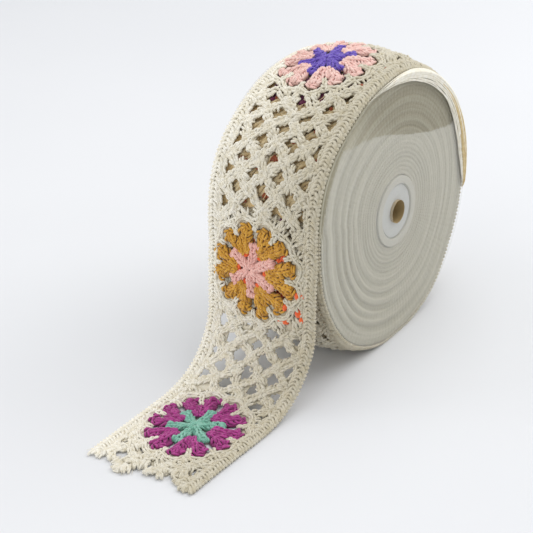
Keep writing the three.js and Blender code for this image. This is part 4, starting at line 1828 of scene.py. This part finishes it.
    def _orange(self, rng: np.random.Generator) -> bpy.types.Object:
        """Stitches the orange yarn that shows between the hanging flower's star and petals.

        Args:
            rng: Where the untidiness comes from.

        Returns:
            A round in the six valleys and a few bits beside the petals.
        """
        flower = self.motifs[0]
        ring = np.radians(30 + 60 * np.arange(6)[:, None] + np.array([[-9.0, 9.0]])).ravel()
        inside = np.column_stack([10.6 * np.cos(ring), 10.6 * np.sin(ring) + 0.7 * flower.lean])
        specks = np.array(self.specks, float)
        skein = Skein()
        stitch = Stitch(girth=1.2, untidy=0.2, rise=0.9, floor=1.2)
        stitch.work(skein, rng, inside + flower.middle, ring + 1.3, 3.4, 4.4)
        for places in (specks[:, :2], specks[:, :2] + rng.normal(0, 0.8, (len(specks), 2))):
            pads = np.column_stack([places, rng.uniform(1.6, 2.2, len(specks))])
            wide = specks[:, 2] * rng.uniform(0.7, 0.9, len(specks))
            skein.add_pads(pads, rng.uniform(0, np.pi, len(specks)), specks[:, 2], wide, 1.5)
        return finished(skein.make("hanging_flower_orange"), Yarn.ORANGE.value)

    def build(self, rng: np.random.Generator) -> list[bpy.types.Object]:
        """Crochets the loose end.

        Args:
            rng: Where the untidiness comes from.

        Returns:
            Its pieces, the cloth first.
        """
        start, stop = ROUTE.loose_from, ROUTE.cut_at - self.worked_to
        sheet = self._cloth()
        skein = Skein(ground=-1.0)
        LaceNet(start, stop, self.motifs, width=6.4, girth=0.95, knot=5.2).crochet(skein, rng)
        net = finished(skein.make("loose_end_net"), Yarn.CREAM.value)
        skein = Skein(ground=-1.2)
        Selvedge(start - 2.5, stop, self.motifs).crochet(skein, rng)
        edges = finished(skein.make("loose_end_selvedges"), Yarn.CREAM.value)
        pieces = [net, edges, self._frays(rng), self._orange(rng)]
        for motif in self.motifs:
            pieces += motif.build(rng)
        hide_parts("loose_end")
        return [sheet, *pieces]


@dataclass(frozen=True)
class Reel:
    """The clear side discs and the white hub."""

    disc_radius: float = 100.0
    disc_inner: float = 46.1
    disc_outer: float = 47.1
    bore: float = 8.5
    recess_radius: float = 20.3
    recess: float = 1.0
    hub_radius: float = 26.0
    hub_face: float = 45.8
    lining: float = 0.15
    clear: MouldedFinish = MouldedFinish(
        "clear_side", linear(250, 250, 246), 0.022, 0.115, "clear_plastic", mirror=1.0
    )
    # Painted light: the rim's pale golden tint, for light gathered in the clear disc's edge.
    rim: MouldedFinish = MouldedFinish("clear_rim", linear(226, 218, 196), 0.12, 0.1, "clear_plastic")
    white: MouldedFinish = MouldedFinish("white_hub", linear(181, 181, 175), 0.42, 1.0, "hub_plastic")
    cream: MouldedFinish = MouldedFinish("cream_sleeve", linear(178, 174, 159), 0.6, 1.0, "hub_plastic")
    # Painted shade: the tan inside of the bore, darkened for the shade in it.
    tan: MouldedFinish = MouldedFinish("tan_bore", linear(162, 140, 98), 0.7, 1.0, "hub_plastic")

    def _lathe(self, name: str, profile: Array, steps: int) -> bpy.types.Object:
        """Turns a closed profile about the axle.

        Args:
            name: The piece's name.
            profile: Places (x, radius), going round the section.
            steps: Steps of the turn.

        Returns:
            The piece: x from the profile, y and z the radius times the turn's cosine and sine.
        """
        turn = 2 * np.pi * np.arange(steps) / steps
        x = np.broadcast_to(profile[:, :1], (len(profile), steps))
        y, z = profile[:, 1:] * np.cos(turn), profile[:, 1:] * np.sin(turn)
        points = np.stack([x, y, z], axis=-1) + ROUTE.axle
        quads = ringed(len(profile), steps)[:, [0, 3, 2, 1]]
        skein = Skein()
        skein.add_faces(points * MM, quads, np.zeros((quads.size, 2)))
        return skein.make(name, laid=False)

    @staticmethod
    def _section(low: float, high: float, inner: float, outer: float) -> list[tuple[float, float]]:
        """Gives the corners of a ring's section, between two places on the axle and two radii."""
        return [(low, inner), (low, outer), (high, outer), (high, inner)]

    @staticmethod
    def _rounded(corners: list[tuple[float, float]], cut: float) -> Array:
        """Rounds the corners of a closed profile by quarter curves.

        Args:
            corners: Its corners.
            cut: How far along each side a curve starts.

        Returns:
            Places round the profile; each curve is the square-law one between the cut sides.
        """
        here = np.array(corners, float)
        before, after = np.roll(here, 1, axis=0), np.roll(here, -1, axis=0)
        back = before - here
        on = after - here
        back *= cut / np.linalg.norm(back, axis=1, keepdims=True)
        on *= cut / np.linalg.norm(on, axis=1, keepdims=True)
        t = np.linspace(0, 1, 4)[None, :, None]
        curve = here[:, None] + back[:, None] * (1 - t) ** 2 + on[:, None] * t**2
        return curve.reshape(-1, 2)

    def _edged(self, disc: bpy.types.Object) -> bpy.types.Object:
        """Gives a disc's rim and bore the whiter look that light gathers in.

        Args:
            disc: The disc.

        Returns:
            The same disc, its flat sides shaded flat and its other faces in a second finish.
        """
        disc.data.materials.append(self.rim.material())
        normals = np.empty(3 * len(disc.data.polygons))
        disc.data.polygons.foreach_get("normal", normals)
        edge = np.abs(normals.reshape(-1, 3)[:, 0]) < 0.95
        disc.data.polygons.foreach_set("material_index", edge.astype(np.int32))
        disc.data.polygons.foreach_set("use_smooth", edge)
        return disc

    def build(self) -> list[bpy.types.Object]:
        """Moulds both discs, the hub, the sleeve round it and the tan lining of its bore.

        Returns:
            The near disc, the far disc, the hub, its sleeve and the lining.
        """
        discs = []
        sides = {"near_disc": (self.disc_inner, self.disc_outer)}
        sides["far_disc"] = (-self.disc_outer, -self.disc_inner)
        for name, (low, high) in sides.items():
            corners = self._section(low, high, self.bore, self.disc_radius)
            disc = self._lathe(f"clear_{name}", self._rounded(corners, 0.35), 192)
            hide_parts(name)
            discs.append(self._edged(finished(disc, self.clear)))
        deep, sleeve = self.hub_face - self.recess, self.recess_radius
        corners = self._section(-self.hub_face, self.hub_face, sleeve, self.hub_radius)
        ring = self._lathe("hub_sleeve", self._rounded(corners, 0.5), 128)
        corners = [(-deep, self.bore), (-deep, sleeve - 1.3)]
        corners += [(0.9 - deep, sleeve - 0.9), (0.9 - deep, sleeve - 0.1)]
        corners += [(-x, radius) for x, radius in corners[::-1]]
        hub = self._lathe("white_hub", self._rounded(corners, 0.15), 128)
        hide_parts("reel_core")
        # The lining's tan is darkened as painted shade in the bore.
        inside, brim = self.bore - self.lining, self.disc_outer - 0.1
        corners = self._section(-brim, brim, inside, self.bore - 0.05)
        lining = self._lathe("bore_lining", self._rounded(corners, 0.04), 96)
        return [*discs, finished(hub, self.white), finished(ring, self.cream), finished(lining, self.tan)]


@dataclass(frozen=True)
class TableFinish(Finish):
    """The pale table, faintly uneven."""

    name: str = "pale_table"
    low: Colour = linear(216, 217, 220)
    high: Colour = linear(224, 225, 228)

    def _mixed(self, tree: bpy.types.NodeTree) -> Inputs:
        """Sets out a colour between the two by a noise on object places."""
        tint = add_ramp(tree, add_noise(tree, 2.2), (0.0, self.low), (1.0, self.high))
        return {"Base Color": tint, "Roughness": 0.85, "Specular IOR Level": 0.15}


@dataclass(frozen=True)
class CardFinish(Finish):
    """The card that the clear disc mirrors, paler towards the reel's near end."""

    name: str = "dark_card"
    pale: Colour = linear(184, 180, 170)
    dark: Colour = linear(92, 88, 80)
    pale_until: float = 0.225
    dark_from: float = 0.3

    def _mixed(self, tree: bpy.types.NodeTree) -> Inputs:
        """Sets out the nodes of the card.

        Args:
            tree: The material's node tree.

        Returns:
            What the shader takes: a colour between the two by the place back less half the place
            aside.
        """
        place = add_node(tree, "TexCoord", {}).outputs["Object"]
        inputs = {0: place, 1: (-0.5, 1, 0)}
        back = add_node(tree, "VectorMath", inputs, operation="DOT_PRODUCT").outputs["Value"]
        tint = add_ramp(tree, back, (self.pale_until, self.pale), (self.dark_from, self.dark))
        return {"Base Color": tint, "Roughness": 0.9}


@dataclass(frozen=True)
class Studio:
    """The plain pale table, the soft lights and the photograph's camera."""

    azimuth: float = 0.644
    elevation: float = 0.479
    distance: float = 1015.366
    roll: float = -0.059
    aim: tuple[float, float] = (-73.096, -75.076)
    focal_share: float = 1289.854 / 533
    sensor: float = 36.0
    farthest: float = 50.0
    lamps_aim: tuple[float, float, float] = (0.0, 0.0, 0.08)
    room: float = 0.70
    room_colour: Colour = (0.96, 0.98, 1.0)
    half_table: float = 6.0
    card_height: float = 0.002
    card: tuple[tuple[float, float], ...] = (
        # metres aside and back; the near edge from left to right, then the far side
        (0.3, 0.3),
        (0.269, 0.35),
        (0.266, 0.376),
        (0.264, 0.389),
        (0.257, 0.402),
        (0.239, 0.412),
        (0.23, 0.421),
        (0.223, 0.43),
        (0.218, 0.441),
        (0.214, 0.456),
        (0.216, 1.6),
        (1.6, 1.6),
        (1.6, 0.3),
    )
    lamps: tuple[tuple[str, tuple[float, float, float], float, float, Colour], ...] = (
        # name, place, size, watts, colour
        ("overhead", (0.5, 1.0, 1.9), 3.0, 34, (1.0, 0.99, 0.97)),
        ("front_fill", (-0.4, -1.9, 1.0), 1.8, 7, (1.0, 0.99, 0.97)),
        ("low_left", (-1.3, -0.9, 0.4), 0.8, 6, (1.0, 0.97, 0.92)),
        ("back_right", (0.9, 1.1, 0.9), 1.0, 3.5, (1.0, 1.0, 1.0)),
    )

    @staticmethod
    def _flat(name: str, corners: Array, finish: Finish) -> bpy.types.Object:
        """Lays one flat face that faces up.

        Args:
            name: Its name.
            corners: Its corners, anticlockwise from above, in metres.
            finish: Its finish.

        Returns:
            The face's object.
        """
        mesh = bpy.data.meshes.new(name)
        mesh.from_pydata(corners.tolist(), [], [tuple(range(len(corners)))])
        mesh.materials.append(finish.material())
        laid = bpy.data.objects.new(name, mesh)
        bpy.context.scene.collection.objects.link(laid)
        return laid

    def floor(self) -> None:
        """Lays the table, a wide plane under the roll."""
        corners = self.half_table * np.array([(-1, -1, 0), (1, -1, 0), (1, 1, 0), (-1, 1, 0)])
        self._flat("table", corners, TableFinish())

    def flag(self) -> None:
        """Lays a card off to the right, which only the clear disc mirrors."""
        corners = np.array([(aside, back, self.card_height) for aside, back in self.card[::-1]])
        card = self._flat("reflection_card", corners, CardFinish())
        card.visible_camera = False
        card.visible_diffuse = False
        card.visible_shadow = False
        card.visible_transmission = False

    def light(self) -> None:
        """Hangs the soft lamps and sets the even light of the room."""
        world = bpy.data.worlds.new("studio")
        bpy.context.scene.world = world
        world.use_nodes = True
        glow = {"Color": (*self.room_colour, 1), "Strength": self.room}
        fill(world.node_tree.nodes["Background"], glow)
        for name, place, size, watts, tint in self.lamps:
            lamp = bpy.data.lights.new(name, "AREA")
            lamp.shape = "DISK"
            lamp.size = size
            lamp.energy = watts
            lamp.color = tint
            hung = bpy.data.objects.new(name, lamp)
            bpy.context.scene.collection.objects.link(hung)
            away = np.array(place) - self.lamps_aim
            hung.matrix_world = self._facing(np.array(place), away / np.linalg.norm(away), 0.0)

    @staticmethod
    def _facing(place: Array, back: Array, roll: float) -> Matrix:
        """Works out where a lamp or camera stands and how it is turned.

        Args:
            place: Where it stands, in metres.
            back: The unit direction away from what it looks at.
            roll: How far it is turned about that direction, in radians.

        Returns:
            Its matrix.
        """
        right = np.cross([0.0, 0.0, 1.0], back)
        right /= np.linalg.norm(right)
        up = np.cross(back, right)
        cos, sin = math.cos(roll), math.sin(roll)
        turned = np.column_stack([cos * right + sin * up, -sin * right + cos * up, back, place])
        return Matrix(np.vstack([turned, [0, 0, 0, 1]]).tolist())

    def camera(self) -> None:
        """Sets up the camera at the photograph's place and angle."""
        flat = math.cos(self.elevation)
        back = np.array(
            [math.sin(self.azimuth) * flat, -math.cos(self.azimuth) * flat, math.sin(self.elevation)]
        )
        target = ROUTE.axle + np.array([self.aim[0], 0, self.aim[1]])
        lens = bpy.data.cameras.new("photograph")
        lens.sensor_width = self.sensor
        lens.lens = self.sensor * self.focal_share
        lens.clip_end = self.farthest
        held = bpy.data.objects.new("photograph", lens)
        bpy.context.scene.collection.objects.link(held)
        held.matrix_world = self._facing((target + back * self.distance) * MM, back, self.roll)
        bpy.context.scene.camera = held
        bpy.context.scene.view_settings.view_transform = "Standard"


def main() -> None:
    """Builds the trim and its reel in order and reports each piece."""
    logging.basicConfig(level=logging.INFO, format="%(message)s", stream=sys.stdout)
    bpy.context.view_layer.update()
    studio = Studio()
    studio.camera()
    studio.light()
    studio.floor()
    studio.flag()
    rng = np.random.default_rng(SEED)
    drum = WoundTurns().build(rng)
    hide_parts("wound_trim")
    UnderTurn(ROUTE.roll_end, ROUTE.loose_from).build(rng)
    OuterTurn().build(rng)
    LooseEnd().build(rng)
    Reel().build()


if __name__ == "__main__":
    main()
